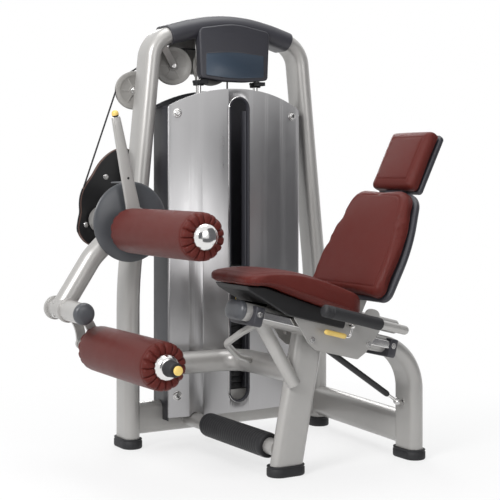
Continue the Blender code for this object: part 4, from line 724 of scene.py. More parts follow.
class Finish:
    """A material in the making: Principled, with groups that vary its colour, gloss and relief."""

    def __init__(self, name, base, roughness, metallic=0.0, **constants):
        self.material = bpy.data.materials.new(name)
        self.material.use_nodes = True
        self.tree = self.material.node_tree
        self.shader = self.tree.nodes["Principled BSDF"]
        self.base = tuple(base)
        self.roughness = roughness
        self.shader.inputs["Metallic"].default_value = metallic
        for key, value in constants.items():
            self.shader.inputs[key.replace("_", " ")].default_value = value
        self.material.diffuse_color = (*self.base, 1.0)
        self.colour = None
        self.gloss = None
        FINISH[name] = self.material

    def use(self, tree, **values):
        made = self.tree.nodes.new("ShaderNodeGroup")
        made.node_tree = tree
        for key, value in values.items():
            made.inputs[key].default_value = value
        return made.outputs

    def tint(self, mask, other, amount):
        """Mixes another colour in by a mask."""
        mix = self.tree.nodes.new("ShaderNodeMix")
        mix.data_type = "RGBA"
        self.tree.links.new(maths(self.tree, "MULTIPLY", mask, amount), mix.inputs["Factor"])
        if self.colour:
            self.tree.links.new(self.colour, mix.inputs[6])
        else:
            mix.inputs[6].default_value = (*self.base, 1.0)
        mix.inputs[7].default_value = (*other, 1.0)
        self.colour = mix.outputs[2]
        return self

    def shift_gloss(self, mask, amount):
        """Adds (mask - 0.5) * amount to the roughness."""
        move = maths(self.tree, "MULTIPLY", maths(self.tree, "SUBTRACT", mask, 0.5), amount)
        start = self.gloss if self.gloss else self.roughness
        self.gloss = maths(self.tree, "ADD", move, start)
        return self

    def relief(self, height, strength, distance):
        bump = node(self.tree, "ShaderNodeBump", Strength=strength, Distance=distance)
        self.tree.links.new(height, bump.inputs["Height"])
        last = self.shader.inputs["Normal"]
        if last.links:
            self.tree.links.new(last.links[0].from_socket, bump.inputs["Normal"])
        self.tree.links.new(bump.outputs["Normal"], last)
        return self

    def close(self):
        if self.colour:
            self.tree.links.new(self.colour, self.shader.inputs["Base Color"])
        else:
            self.shader.inputs["Base Color"].default_value = (*self.base, 1.0)
        if self.gloss:
            self.tree.links.new(self.gloss, self.shader.inputs["Roughness"])
        else:
            self.shader.inputs["Roughness"].default_value = self.roughness
        return self.material


def scaled(value, share):
    return tuple(min(1.0, part * share) for part in value)


def coated(name, base, roughness, mottle, grain, wear, metallic=0.0, scale=900.0, depth=0.00012, **constants):
    """Powder coat, plastic, rubber or iron: clouds, pebble and worn edges."""
    made = Finish(name, base, roughness, metallic, **constants)
    clouds = made.use(mottle, Scale=7.0)
    made.tint(clouds["Tone"], scaled(base, 0.86), 0.5)
    made.tint(made.use(wear, Amount=1.0)["Mask"], scaled(base, 1.5), 0.5)
    made.shift_gloss(clouds["Smudge"], 0.14)
    made.relief(made.use(grain, Scale=scale)["Height"], 0.35, depth)
    return made.close()


def metal(name, base, roughness, mottle, brush, stretch, scale=700.0, depth=0.00004, streak=0.20,
          **constants):
    """Bare metal with lines drawn along it."""
    made = Finish(name, base, roughness, 1.0, **constants)
    clouds = made.use(mottle, Scale=5.0)
    lines = made.use(brush, Stretch=stretch, Scale=scale)
    made.tint(lines["Lines"], scaled(base, 0.70), streak * 2)
    made.tint(lines["Bands"], scaled(base, 1.25), streak)
    made.shift_gloss(lines["Bands"], 0.16)
    made.shift_gloss(clouds["Smudge"], 0.10)
    made.relief(lines["Lines"], 0.30, depth)
    return made.close()


def build_finishes(colours):
    """Makes every finish from the shared node groups."""
    mottle, grain, wear = group_mottle(), group_grain(), group_wear()
    brush, leather = group_brush(), group_leather()
    coated("frame_paint", colours.paint, 0.36, mottle, grain, wear, metallic=0.35, scale=700.0, depth=0.00008,
           Coat_Weight=0.25, Coat_Roughness=0.22)
    coated("dark_plastic", colours.plastic, 0.42, mottle, grain, wear, scale=1100.0)
    coated("grey_plastic", colours.grey, 0.34, mottle, grain, wear, scale=1300.0, depth=0.00006)
    coated("pulley_grey", colours.pulley, 0.46, mottle, grain, wear, scale=900.0)
    coated("rubber", colours.rubber, 0.62, mottle, grain, wear, scale=800.0, depth=0.0002)
    # The iron's colour carries painted shade for the seat pan as well as its own black.
    coated("black_iron", colours.iron, 0.44, mottle, grain, wear, metallic=0.2, scale=600.0, depth=0.00015)
    coated("yellow_plastic", colours.yellow, 0.40, mottle, grain, wear, scale=1200.0, depth=0.00006)
    coated("placard_blue", colours.placard, 0.38, mottle, grain, wear, scale=1500.0, depth=0.00003)
    coated("cam_lining", colours.lining, 0.62, mottle, grain, wear, scale=500.0)
    metal("brushed_steel", colours.steel, 0.33, mottle, brush, (1.0, 1.0, 0.008), streak=0.16)
    metal("chrome", colours.chrome, 0.14, mottle, brush, (1.0, 1.0, 1.0), scale=240.0, depth=0.00001,
          streak=0.05)
    metal("bolt_steel", scaled(colours.chrome, 0.75), 0.24, mottle, brush, (1.0, 1.0, 1.0), streak=0.12)
    made = Finish("red_leather", colours.leather, 0.42, Specular_IOR_Level=0.22)
    clouds = made.use(mottle, Scale=8.0)
    skin_grain = made.use(leather)
    made.tint(clouds["Tone"], scaled(colours.leather, 0.72), 0.55)
    # Painted shade and highlight: the grain's creases are darker in colour and its cell tops lighter.
    made.tint(skin_grain["Crease"], scaled(colours.leather, 1.12), 0.35)
    made.tint(made.use(wear, Amount=1.0)["Mask"], scaled(colours.leather, 1.6), 0.4)
    made.shift_gloss(clouds["Smudge"], 0.18)
    made.shift_gloss(skin_grain["Crease"], -0.08)
    made.relief(skin_grain["Height"], 0.75, 0.00050)
    made.close()
    thread = Finish("thread", scaled(colours.leather, 0.9), 0.6)
    thread.tint(thread.use(mottle, Scale=300.0)["Tone"], scaled(colours.leather, 1.4), 0.6)
    thread.close()


# ---------------------------------------------------------------- frame

def arch_line():
    """The arch's middle line, from the left foot over the crown to the right one."""
    left = [
        (TOWER_X - ARCH_HALF, TOWER_Y, FOOT_FLOOR), (TOWER_X - ARCH_HALF, TOWER_Y, ARCH_BEND_Z),
        (TOWER_X - SHOULDER_HALF, TOWER_Y, SHOULDER_Z), (TOWER_X - CROWN_HALF, TOWER_Y, CROWN_SIDE_Z),
        (TOWER_X, TOWER_Y, CROWN_Z),
    ]
    right = [(2 * TOWER_X - x, y, z) for x, y, z in reversed(left[:-1])]
    return bent_path(left + right, (1.6, 0.095, 0.5, 0.6, 0.5, 0.095, 1.6), math.radians(2))


def pulley_line():
    """Centres of the three pulleys, their shared plane's normal and the way to the stack."""
    outer = Vector((-0.181, 0.452, 1.229))
    level = Vector((TOWER_X - outer.x, STACK_Y - outer.y, 0)).normalized()
    upper = outer + level * ((-0.048 - outer.x) / level.x)
    upper.z = 1.318
    ride = GROOVE_RADIUS + CABLE_RADIUS + 0.0003
    stack = Vector((TOWER_X, STACK_Y, upper.z)) - level * ride
    return outer, upper, stack, Vector((-level.y, level.x, 0)), level, ride


OVAL = stadium(TUBE_WIDE, TUBE_THIN)


def tube(name, outline, line, side, cad_node):
    """A painted tube of the frame."""
    bm = bmesh.new()
    sweep(bm, outline, line, side)
    return dress(solid(name, bm), "frame_paint", "frame", cad_node)


def build_frame(sizes):
    outer, _, _, normal, _, _ = pulley_line()
    bm = bmesh.new()
    sweep(bm, OVAL, arch_line(), Y)
    bar(bm, outer + normal * 0.013, outer + normal * ((TOWER_Y + 0.030 - outer.y) / normal.y), 0.008)
    arch = dress(solid("arch_tube", bm), "frame_paint", "frame", "arch_frame")

    bm = bmesh.new()
    reach = ARCH_HALF - TUBE_THIN / 2 + 0.004
    base_line = [(TOWER_X - reach, TOWER_Y, BASE_Z), (TOWER_X + reach, TOWER_Y, BASE_Z)]
    sweep(bm, OVAL, base_line, Z)
    plate_block(bm, 0.140, STACK_FLOOR - 0.0005)
    base = dress(solid("base_tube", bm), "frame_paint", "frame", "base_beam")

    drop = math.tan(BEAM_TILT) * (REAR_LEG_X - BEAM_X)
    beam_line = bent_path([
        (BEAM_X, SEAT_Y, BEAM_Z), (REAR_LEG_X, SEAT_Y, BEAM_Z - drop), (REAR_LEG_X, SEAT_Y, FOOT_FLOOR),
    ], (0.160,), math.radians(2))
    beam = tube("seat_beam_tube", OVAL, beam_line, Y, "seat_beam")

    foot = STRUT_FOOT
    with Piece("strut_ball_stud", "bolt_steel", "frame") as bm:
        bar(bm, foot, (REAR_LEG_X - 0.027, SEAT_Y, foot.z), 0.0045, 24)
        ball = [(-0.008 * math.cos(math.pi * k / 12), 0.008 * math.sin(math.pi * k / 12)) for k in range(13)]
        turn(bm, ball, foot, X, 32)
        turn(bm, [(-0.003, 0.009), (-0.003, 0.012), (0.001, 0.012), (0.001, 0.009)],
             (REAR_LEG_X - TUBE_THIN / 2, SEAT_Y, foot.z), X, 6)

    leg_top = 0.440
    leg_line = [(FRONT_LEG_X, SEAT_Y, FOOT_FLOOR),
                (FRONT_LEG_X + FRONT_LEG_LEAN * (leg_top - FOOT_FLOOR), SEAT_Y, leg_top)]
    leg = tube("front_leg_tube", OVAL, leg_line, X, "front_leg")

    rear_line = [Vector((TOWER_X + ARCH_HALF, TOWER_Y - 0.033, BASE_Z)),
                 Vector((REAR_LEG_X, SEAT_Y + 0.033, BASE_Z))]
    tube("rear_tie_tube", OVAL, rear_line, Z, "rear_base_tube")

    link_line = bent_path([
        (TOWER_X - ARCH_HALF, 0.335, LINK_Z), (TOWER_X - ARCH_HALF, LINK_Y, LINK_Z),
        (0.125, LINK_Y, LINK_Z - 0.002), (0.040, SEAT_Y + 0.015, 0.318),
    ], (0.070, 0.085))
    tube("link_pipe", circle(LINK_PIPE), link_line, X, "link_tube")

    step_line = [Vector((STEP_X, TOWER_Y - 0.012, STEP_Z)), Vector((STEP_X, SEAT_Y + 0.012, STEP_Z))]
    tube("step_pipe", circle(STEP_PIPE), step_line, X, "step_tube")

    brace_line = [Vector((-0.108, SEAT_Y - 0.012, 0.497)), Vector((0.012, SEAT_Y - 0.032, 0.285))]
    tube("brace_pipe", circle(BRACE_PIPE), brace_line, Y, "brace_tube")

    loop_line = bent_path([
        (-0.070, SEAT_Y + 0.020, 0.482), (-0.100, -0.150, 0.438), (-0.098, -0.050, 0.392),
        (-0.020, 0.010, 0.340), (0.088, 0.068, 0.305),
    ], (0.040, 0.045, 0.060))
    tube("loop_rod", circle(0.011, 32), loop_line, Z, "loop_handle")
    build_welds(sizes.weld, (arch, base, beam, leg), rear_line, step_line, brace_line, link_line)
    build_feet()


def ring_at(outline, point, along, side):
    """An outline set square to a direction at a point."""
    along = Vector(along).normalized()
    first = (Vector(side) - along * Vector(side).dot(along)).normalized()
    second = along.cross(first)
    return [Vector(point) + first * a + second * b for a, b in outline]


def build_welds(radius, tubes, rear_line, step_line, brace_line, link_line):
    """A bead at each place where one tube is welded to another."""
    graph = bpy.context.evaluated_depsgraph_get()
    arch, base, beam, leg = (BVHTree.FromObject(obj, graph) for obj in tubes)
    with Piece("weld_beads", "frame_paint", "frame", angle=80) as bm:
        for sign in (-1, 1):
            start = (TOWER_X + sign * (ARCH_HALF - 0.08), TOWER_Y, BASE_Z)
            bead_ring(bm, ring_at(OVAL, start, X * sign, Z), X * sign, arch, radius)
        leg_up = Vector((FRONT_LEG_LEAN, 0, 1))
        start = (FRONT_LEG_X + FRONT_LEG_LEAN * 0.26, SEAT_Y, 0.28)
        bead_ring(bm, ring_at(OVAL, start, leg_up, X), leg_up, beam, radius)
        for line, outline, side, trees, share in (
            (rear_line, OVAL, Z, (arch, beam), 1.0),
            (step_line, circle(STEP_PIPE), X, (base, leg), 0.8),
            (brace_line, circle(BRACE_PIPE), Y, (beam, leg), 0.8),
        ):
            middle = line[0].lerp(line[1], 0.5)
            for end, tree in zip(line, trees):
                way = end - middle
                bead_ring(bm, ring_at(outline, middle, way, side), way, tree, radius * share)
        way = link_line[-1] - link_line[-2]
        start = link_line[-2].lerp(link_line[-1], 0.6)
        bead_ring(bm, ring_at(circle(LINK_PIPE), start, way, X), way, leg, radius)


def build_feet():
    """Rubber cups with a rolled foot and a lip round each leg, and the step's rubber sleeve."""
    spots = (
        ("foot_tower_left", TOWER_X - ARCH_HALF, TOWER_Y, True),
        ("foot_tower_right", TOWER_X + ARCH_HALF, TOWER_Y, True),
        ("foot_seat_front", FRONT_LEG_X + 0.004, SEAT_Y, False),
        ("foot_seat_rear", REAR_LEG_X, SEAT_Y, True),
    )
    profile = (
        (0.0, 0.0045), (0.0008, 0.0065), (0.0035, 0.0085), (0.0070, 0.0090), (0.0240, 0.0088),
        (0.0262, 0.0070), (0.0285, 0.0068), (0.0305, 0.0085), (0.0328, 0.0080), (0.0340, 0.0055),
        (0.0335, 0.0012), (0.0300, -0.0020),
    )
    for name, x, y, turned in spots:
        with Piece(name + "_cup", "rubber", "frame", name, angle=50) as bm:
            rings = []
            for z, grow in profile:
                outline = stadium(TUBE_WIDE + 2 * grow, TUBE_THIN + 2 * grow, 20)
                ring = [(-b, a) if turned else (a, b) for a, b in outline]
                shift = 0 if turned else -0.004
                rings.append([(x + a + shift, y + b, z) for a, b in ring])
            skin(bm, rings)
    low, high = STEP_ENDS
    long = high - low
    profile = [(0, 0.0263), (0, 0.034), (0.0015, 0.0375), (0.005, 0.0392), (0.012, STEP_RADIUS)]
    for k in range(1, 26):
        at = 0.012 + (long - 0.024) * k / 26
        profile += [(at - 0.0012, STEP_RADIUS), (at, STEP_RADIUS - 0.0006), (at + 0.0012, STEP_RADIUS)]
    profile += [(long - 0.012, STEP_RADIUS), (long - 0.005, 0.0392), (long - 0.0015, 0.0375), (long, 0.034),
                (long, 0.0263)]
    with Piece("step_sleeve", "rubber", "frame", "step_pad", angle=60) as bm:
        turn(bm, profile, (STEP_X, low, STEP_Z), Y, 64, closed=True)
    with Piece("step_pad_rivets", "bolt_steel", "frame") as bm:
        for y in (low + 0.018, low + 0.12, high - 0.12, high - 0.018):
            out = Vector((-0.55, 0, -0.835))
            cap_screw(bm, Vector((STEP_X, y, STEP_Z)) + out * (STEP_RADIUS - 0.0008), out, 0.0028, 0.0018)
    out = on_beam(-1, 0, 0) - on_beam(0, 0, 0)
    centre = on_beam(-0.0003, SEAT_Y, 0)
    outline = stadium(TUBE_WIDE, TUBE_THIN + 0.004, 20)
    domed_cap("beam_end_dome", outline, centre, out, Y, 0.022, "beam_end_cap", "frame")


def domed_cap(name, outline, centre, out, first, rise, cad_node, body):
    """A domed plastic cap with a rolled edge over a tube's end."""
    out = Vector(out).normalized()
    first = Vector(first)
    second = out.cross(first)
    rings = []
    for along, share in ((0, 0.975), (0.03, 1.0), (0.30, 1.0), (0.36, 0.985), (0.42, 0.985), (0.56, 0.955),
                         (0.72, 0.88), (0.85, 0.76), (0.94, 0.58), (0.985, 0.36), (1.0, 0.12)):
        base = Vector(centre) + out * (rise * along)
        rings.append([base + (first * a + second * b) * share for a, b in outline])
    with Piece(name, "grey_plastic", body, cad_node, angle=50) as bm:
        skin(bm, rings)


# ---------------------------------------------------------------- tower

def bulge_y(x):
    """Y of the panel's bowed face."""
    share = (x - TOWER_X) / SHROUD_HALF
    return SHROUD_EDGE_Y - SHROUD_BULGE * (1 - share * share)


def tower_outline(low):
    """The panel's shape in X and Z: straight sides, an arched top and small round shoulders."""
    count = 56
    top = []
    for k in range(count + 1):
        share = 1 - 2 * k / count
        rise = (SHROUD_TOP_Z - SHROUD_CORNER_Z) * (1 - abs(share) ** 2.2)
        top.append((TOWER_X + SHROUD_HALF * share, SHROUD_CORNER_Z + rise))
    corners = [(TOWER_X - SHROUD_HALF, low), (TOWER_X + SHROUD_HALF, low)] + top
    radii = [0.004, 0.004, 0.014] + [0] * (len(top) - 2) + [0.014]
    return rounded(corners, radii, 6)


def slot_outline(grow=0.0):
    low, high = SLOT_ENDS
    centre = (high + low) / 2
    oval = stadium(high - low + 2 * grow, 2 * (SLOT_HALF + grow), 20)
    return [(TOWER_X - b, centre + a) for a, b in oval]


def build_tower():
    count = 64
    front = []
    back = []
    for k in range(count + 1):
        x = TOWER_X + SHROUD_HALF * (2 * k / count - 1)
        front.append((x, bulge_y(x)))
        back.append((x, bulge_y(x) + 0.004))
    bm = bmesh.new()
    slab(bm, front + back[::-1], SHROUD_LOW - 0.01, SHROUD_TOP_Z + 0.01, "XY")
    panel = solid("shroud_panel", bm)
    near = SHROUD_EDGE_Y - 0.06
    cut(panel, "INTERSECT", slab, tower_outline(SHROUD_LOW), near, SHROUD_EDGE_Y + 0.02)
    cut(panel, "DIFFERENCE", slab, slot_outline(), near, SHROUD_EDGE_Y + 0.02)
    cut(panel, "DIFFERENCE", bar, (STEP_X, near, STEP_Z), (STEP_X, TOWER_Y, STEP_Z), STEP_PIPE + 0.003)
    soften(panel, 0.0012, 2, 50)
    dress(panel, "brushed_steel", "frame", "front_shroud")

    face = SHROUD_EDGE_Y - SHROUD_BULGE
    with Piece("slot_bezel", "dark_plastic", "frame", "slot_trim", angle=40) as bm:
        section = ((0.0048, -0.0003), (0.0050, -0.0022), (0.0036, -0.0034), (0.0006, -0.0035),
                   (-0.0022, -0.0030), (-0.0034, -0.0012), (-0.0035, 0.0100), (-0.0003, 0.0100),
                   (-0.0003, -0.0003))
        shapes = [(slot_outline(grow), depth) for grow, depth in section]
        rings = [[(shape[k][0], face + depth, shape[k][1]) for shape, depth in shapes]
                 for k in range(len(shapes[0][0]))]
        skin(bm, rings, closed=True)
    with Piece("slot_edge", "chrome", "frame", angle=60) as bm:
        rings = []
        for a, b in zip(slot_outline(0.0050), slot_outline(0.0036)):
            rings.append([(a[0], face - 0.0021, a[1]), (b[0], face - 0.0034, b[1]),
                          (b[0], face - 0.0040, b[1]), (a[0], face - 0.0027, a[1])])
        skin(bm, rings, closed=True)

    bm = bmesh.new()
    for sign in (-1, 1):
        edge = TOWER_X + sign * (SLOT_HALF - 0.0038)
        inner = edge - sign * 0.0060
        x0, x1 = sorted((edge, inner))
        block(bm, (x0, face + 0.0045, SLOT_ENDS[0] + 0.045), (x1, STACK_Y - 0.0515, SLOT_ENDS[1] - 0.045))
    dress(soften(solid("slot_liner", bm), 0.001, 2), "dark_plastic", "frame")

    back = 0.436
    plan = rounded([
        (TOWER_X - SHROUD_HALF, SHROUD_EDGE_Y + 0.0043), (TOWER_X + SHROUD_HALF, SHROUD_EDGE_Y + 0.0043),
        (TOWER_X + SHROUD_HALF, back), (TOWER_X - SHROUD_HALF, back),
    ], (0.002, 0.002, 0.030, 0.030), 10)
    wall = 0.004
    inner_plan = rounded([
        (TOWER_X - SHROUD_HALF + wall, SHROUD_EDGE_Y - 0.02),
        (TOWER_X + SHROUD_HALF - wall, SHROUD_EDGE_Y - 0.02), (TOWER_X + SHROUD_HALF - wall, back - wall),
        (TOWER_X - SHROUD_HALF + wall, back - wall),
    ], (0.002, 0.002, 0.026, 0.026), 10)
    bm = bmesh.new()
    slab(bm, plan, SHROUD_LOW - 0.012, SHROUD_TOP_Z + 0.01, "XY")
    cover = solid("tower_cover", bm)
    cut(cover, "INTERSECT", slab, tower_outline(SHROUD_LOW - 0.012), SHROUD_EDGE_Y - 0.05, back + 0.05)
    cut(cover, "DIFFERENCE", slab, inner_plan, 0.0, SHROUD_TOP_Z + 0.05, "XY")
    left, right = TOWER_X - 0.4, TOWER_X + 0.4
    notch = stadium(TUBE_WIDE + 0.001, TUBE_THIN + 0.001)
    cut(cover, "DIFFERENCE", sweep, notch, [(left, TOWER_Y, BASE_Z), (right, TOWER_Y, BASE_Z)], Z)
    thin = TUBE_THIN / 2
    cut(cover, "DIFFERENCE", block, (left, TOWER_Y - thin, 0.0), (right, TOWER_Y + thin, BASE_Z))
    soften(cover, 0.0010, 2, 50)
    dress(cover, "dark_plastic", "frame", "rear_cover")

    with Piece("shroud_screws", "bolt_steel", "frame") as bm:
        for sign in (-1, 1):
            for z in (SHROUD_CORNER_Z - 0.024, SHROUD_LOW + 0.075):
                x = TOWER_X + sign * (SHROUD_HALF - 0.033)
                slope = Vector((-2 * SHROUD_BULGE * (x - TOWER_X) / SHROUD_HALF ** 2, 1, 0)).normalized()
                cap_screw(bm, (x, bulge_y(x) + 0.0004, z), -slope, 0.0125, 0.0062)


def plate_block(bm, low, high):
    """A block as wide and as deep as a weight plate."""
    block(bm, (TOWER_X - PLATE_HALF_X, STACK_Y - PLATE_HALF_Y, low),
          (TOWER_X + PLATE_HALF_X, STACK_Y + PLATE_HALF_Y, high))


def plate_bar(bm, z, free_hole=True):
    """One cast weight plate with rounded edges, and a collar round its pin hole unless the pin is in it."""
    x0, x1 = TOWER_X - PLATE_HALF_X, TOWER_X + PLATE_HALF_X
    y0, y1 = STACK_Y - PLATE_HALF_Y, STACK_Y + PLATE_HALF_Y
    rings = []
    edge = 0.0022
    top = z + PLATE_PITCH - 0.0008
    for high, shrink in ((z, edge), (z + edge * 0.4, edge * 0.35), (z + edge * 1.2, 0), (top - edge * 1.2, 0),
                         (top - edge * 0.4, edge * 0.35), (top, edge)):
        rings.append([(x, y, high) for x, y in rounded([
            (x0 + shrink, y0 + shrink), (x1 - shrink, y0 + shrink), (x1 - shrink, y1 - shrink),
            (x0 + shrink, y1 - shrink)], (0.004,) * 4, 3)])
    skin(bm, rings)
    middle = z + PLATE_PITCH / 2 - 0.0004
    if free_hole:
        turn(bm, [(0.0002, 0.0060), (-0.0009, 0.0072), (-0.0009, 0.0058), (0.0001, 0.0050), (0.0002, 0.001)],
             (TOWER_X, y0, middle), Y, 24)


def build_stack():
    low, high = PICKED_LOW, PICKED_HIGH
    with Piece("resting_plates", "black_iron", "frame", "weight_plates", angle=50) as bm:
        for k in range(RESTING_PLATES):
            plate_bar(bm, STACK_FLOOR + k * PLATE_PITCH)
    with Piece("picked_plates", "black_iron", "stack", "lifted_plates", angle=50) as bm:
        for k in range(PICKED_PLATES):
            plate_bar(bm, low + k * PLATE_PITCH, k > 0)

    bm = bmesh.new()
    plate_block(bm, PICKED_HIGH + 0.0003, PICKED_HIGH + 0.032)
    dress(soften(solid("stack_head", bm), 0.003, 4), "bolt_steel", "stack", "top_plate")
    with Piece("stack_stem", "bolt_steel", "stack") as bm:
        bar(bm, (TOWER_X, STACK_Y, high + 0.030), (TOWER_X, STACK_Y, high + STEM_TALL), 0.011, 40, 0.002)
        turn(bm, [(0, 0.016), (0.012, 0.016), (0.014, 0.014)], (TOWER_X, STACK_Y, high + 0.032), Z, 6)
        for sign in (-1, 1):
            turn(bm, [(0, 0.0108), (0, 0.019), (0.004, 0.019), (0.006, 0.017), (0.006, 0.0108)],
                 (TOWER_X + sign * ROD_OFF, STACK_Y, high + 0.032), Z, 40, closed=True)

    pin_z = low + PLATE_PITCH / 2
    front = STACK_Y - 0.098
    with Piece("pin_knob", "yellow_plastic", "pin", "selector_pin", angle=50) as bm:
        turn(bm, [(0, 0.0), (0, 0.0070), (0.0008, 0.0088), (0.003, 0.0104), (0.006, 0.0105), (0.0075, 0.0098),
                  (0.009, 0.0105), (0.0105, 0.0098), (0.012, 0.0105), (0.0135, 0.0098), (0.015, 0.0105),
                  (0.022, 0.0102), (0.026, 0.0070), (0.028, 0.0045)], (TOWER_X, front, pin_z), Y, 40)
    with Piece("pin_shank", "chrome", "pin") as bm:
        bar(bm, (TOWER_X, front + 0.027, pin_z), (TOWER_X, front + 0.095, pin_z), 0.0045, 28, 0.0012)

    for name, sign in (("left", -1), ("right", 1)):
        x = TOWER_X + sign * ROD_OFF
        with Piece(f"guide_bar_{name}", "chrome", "frame", f"guide_rod_{name}") as bm:
            bar(bm, (x, STACK_Y, STACK_FLOOR), (x, STACK_Y, HEAD_LOW + 0.01), 0.010)
            bar(bm, (x, STACK_Y - 0.004, HEAD_LOW), (x, STACK_Y - 0.004, 1.410), 0.0150)


def build_head():
    """The moulded sleeve over the arch's crown, its tray, the bare placard and the rod collars."""
    line = [point for point in arch_line() if abs(point.x - TOWER_X) < 0.245]
    share = []
    for k in range(len(line)):
        end = min(k, len(line) - 1 - k)
        share.append((0.975, 0.992, 1.0)[min(end, 2)])
    with Piece("head_sleeve", "dark_plastic", "frame", "head_cover", angle=50) as bm:
        sweep(bm, stadium(TUBE_WIDE + 0.016, TUBE_THIN + 0.016, 20), line, Y, share)

    half = TRAY_HALF
    outline = rounded([
        (TOWER_X - half + 0.003, HEAD_LOW + 0.010), (TOWER_X - 0.05, HEAD_LOW), (TOWER_X + 0.05, HEAD_LOW),
        (TOWER_X + half - 0.003, HEAD_LOW + 0.010), (TOWER_X + half + 0.004, 1.446), (TOWER_X, 1.470),
        (TOWER_X - half - 0.004, 1.446),
    ], (0.014, 0.3, 0.3, 0.014, 0.020, 0.3, 0.020), 8)
    bm = bmesh.new()
    slab(bm, outline, HEAD_FRONT_Y, HEAD_FRONT_Y + 0.034)
    tray = soften(solid("head_tray", bm), 0.0055, 5)
    cut(tray, "DIFFERENCE", block, (TOWER_X - half + 0.006, HEAD_FRONT_Y + 0.008, HEAD_LOW + 0.014),
        (TOWER_X + half - 0.006, HEAD_FRONT_Y + 0.060, 1.400))
    shade(tray.data, 40)
    dress(tray, "dark_plastic", "frame")

    side = PLACARD_HALF
    outline = rounded([
        (TOWER_X - side, HEAD_LOW + 0.020), (TOWER_X, HEAD_LOW + 0.011), (TOWER_X + side, HEAD_LOW + 0.020),
        (TOWER_X + side, HEAD_LOW + 0.096), (TOWER_X, HEAD_LOW + 0.106), (TOWER_X - side, HEAD_LOW + 0.096),
    ], (0.007, 0.6, 0.007, 0.007, 0.6, 0.007), 8)
    bm = bmesh.new()
    slab(bm, outline, HEAD_FRONT_Y - 0.0016, HEAD_FRONT_Y + 0.001)
    dress(soften(solid("placard_face", bm), 0.0006, 2), "placard_blue", "frame", "placard")
    with Piece("placard_rim", "dark_plastic", "frame", angle=50) as bm:
        section = ((-0.0018, 0.0), (-0.0022, -0.0010), (-0.0010, -0.0020), (0.0, -0.0020), (0.0004, 0.0))
        rim = [(inset(outline, moved), depth) for moved, depth in section]
        rings = [[(shape[k][0], HEAD_FRONT_Y + depth, shape[k][1]) for shape, depth in rim]
                 for k in range(len(outline))]
        skin(bm, rings, closed=True)

    with Piece("rod_collars", "rubber", "frame") as bm:
        for sign in (-1, 1):
            x = TOWER_X + sign * ROD_OFF
            turn(bm, [(0.0, 0.0155), (0.0, 0.0205), (-0.001, 0.0215), (-0.007, 0.0215), (-0.008, 0.0200),
                      (-0.0165, 0.0195), (-0.0175, 0.0185), (-0.0175, 0.0104)],
                 (x, STACK_Y, HEAD_LOW + 0.004), Z, 48)
            block(bm, (x - 0.014, HEAD_FRONT_Y + 0.010, HEAD_LOW - 0.009),
                  (x + 0.014, STACK_Y - 0.012, HEAD_LOW + 0.004))


# ---------------------------------------------------------------- pulleys and cable

def pulley(name, centre, normal, body, cad_node):
    """A moulded pulley with a grooved rim, dished faces, a hub and six shallow ribs."""
    half = 0.013
    profile = [
        (-half * 0.62, 0.0088), (-half * 0.62, 0.016), (-half * 0.42, 0.019), (-half * 0.50, 0.045),
        (-half * 0.86, 0.0505), (-half, 0.0535), (-half, 0.0655), (-half * 0.90, 0.0670),
        (-half * 0.70, 0.0665), (-0.0036, 0.0580), (0.0, 0.0572), (0.0036, 0.0580), (half * 0.70, 0.0665),
        (half * 0.90, 0.0670), (half, 0.0655), (half, 0.0535), (half * 0.86, 0.0505), (half * 0.50, 0.045),
        (half * 0.42, 0.019), (half * 0.62, 0.016), (half * 0.62, 0.0088),
    ]
    with Piece(name, "pulley_grey", body, cad_node, angle=40) as bm:
        turn(bm, profile, centre, normal, 96, closed=True)
        across = Vector((-normal.y, normal.x, 0))
        for k in range(6):
            a = math.tau * k / 6
            way = across * math.cos(a) + Z * math.sin(a)
            side = normal.cross(way)
            rings = []
            for along in (0.014, 0.030, 0.047):
                wide = 0.0022 - 0.0008 * (along - 0.014) / 0.033
                rings.append([centre + way * along + side * p * wide + normal * q * half * 0.66
                              for p, q in ((-1, -1), (1, -1), (1, 1), (-1, 1))])
            skin(bm, rings)


def ride_round(centre, normal, radius, start, end, steps):
    """The cable's way round a pulley, from one direction out of its centre to another."""
    first = (start - normal * start.dot(normal)).normalized()
    last = (end - normal * end.dot(normal)).normalized()
    return [centre + first.slerp(last, k / steps) * radius for k in range(steps + 1)]


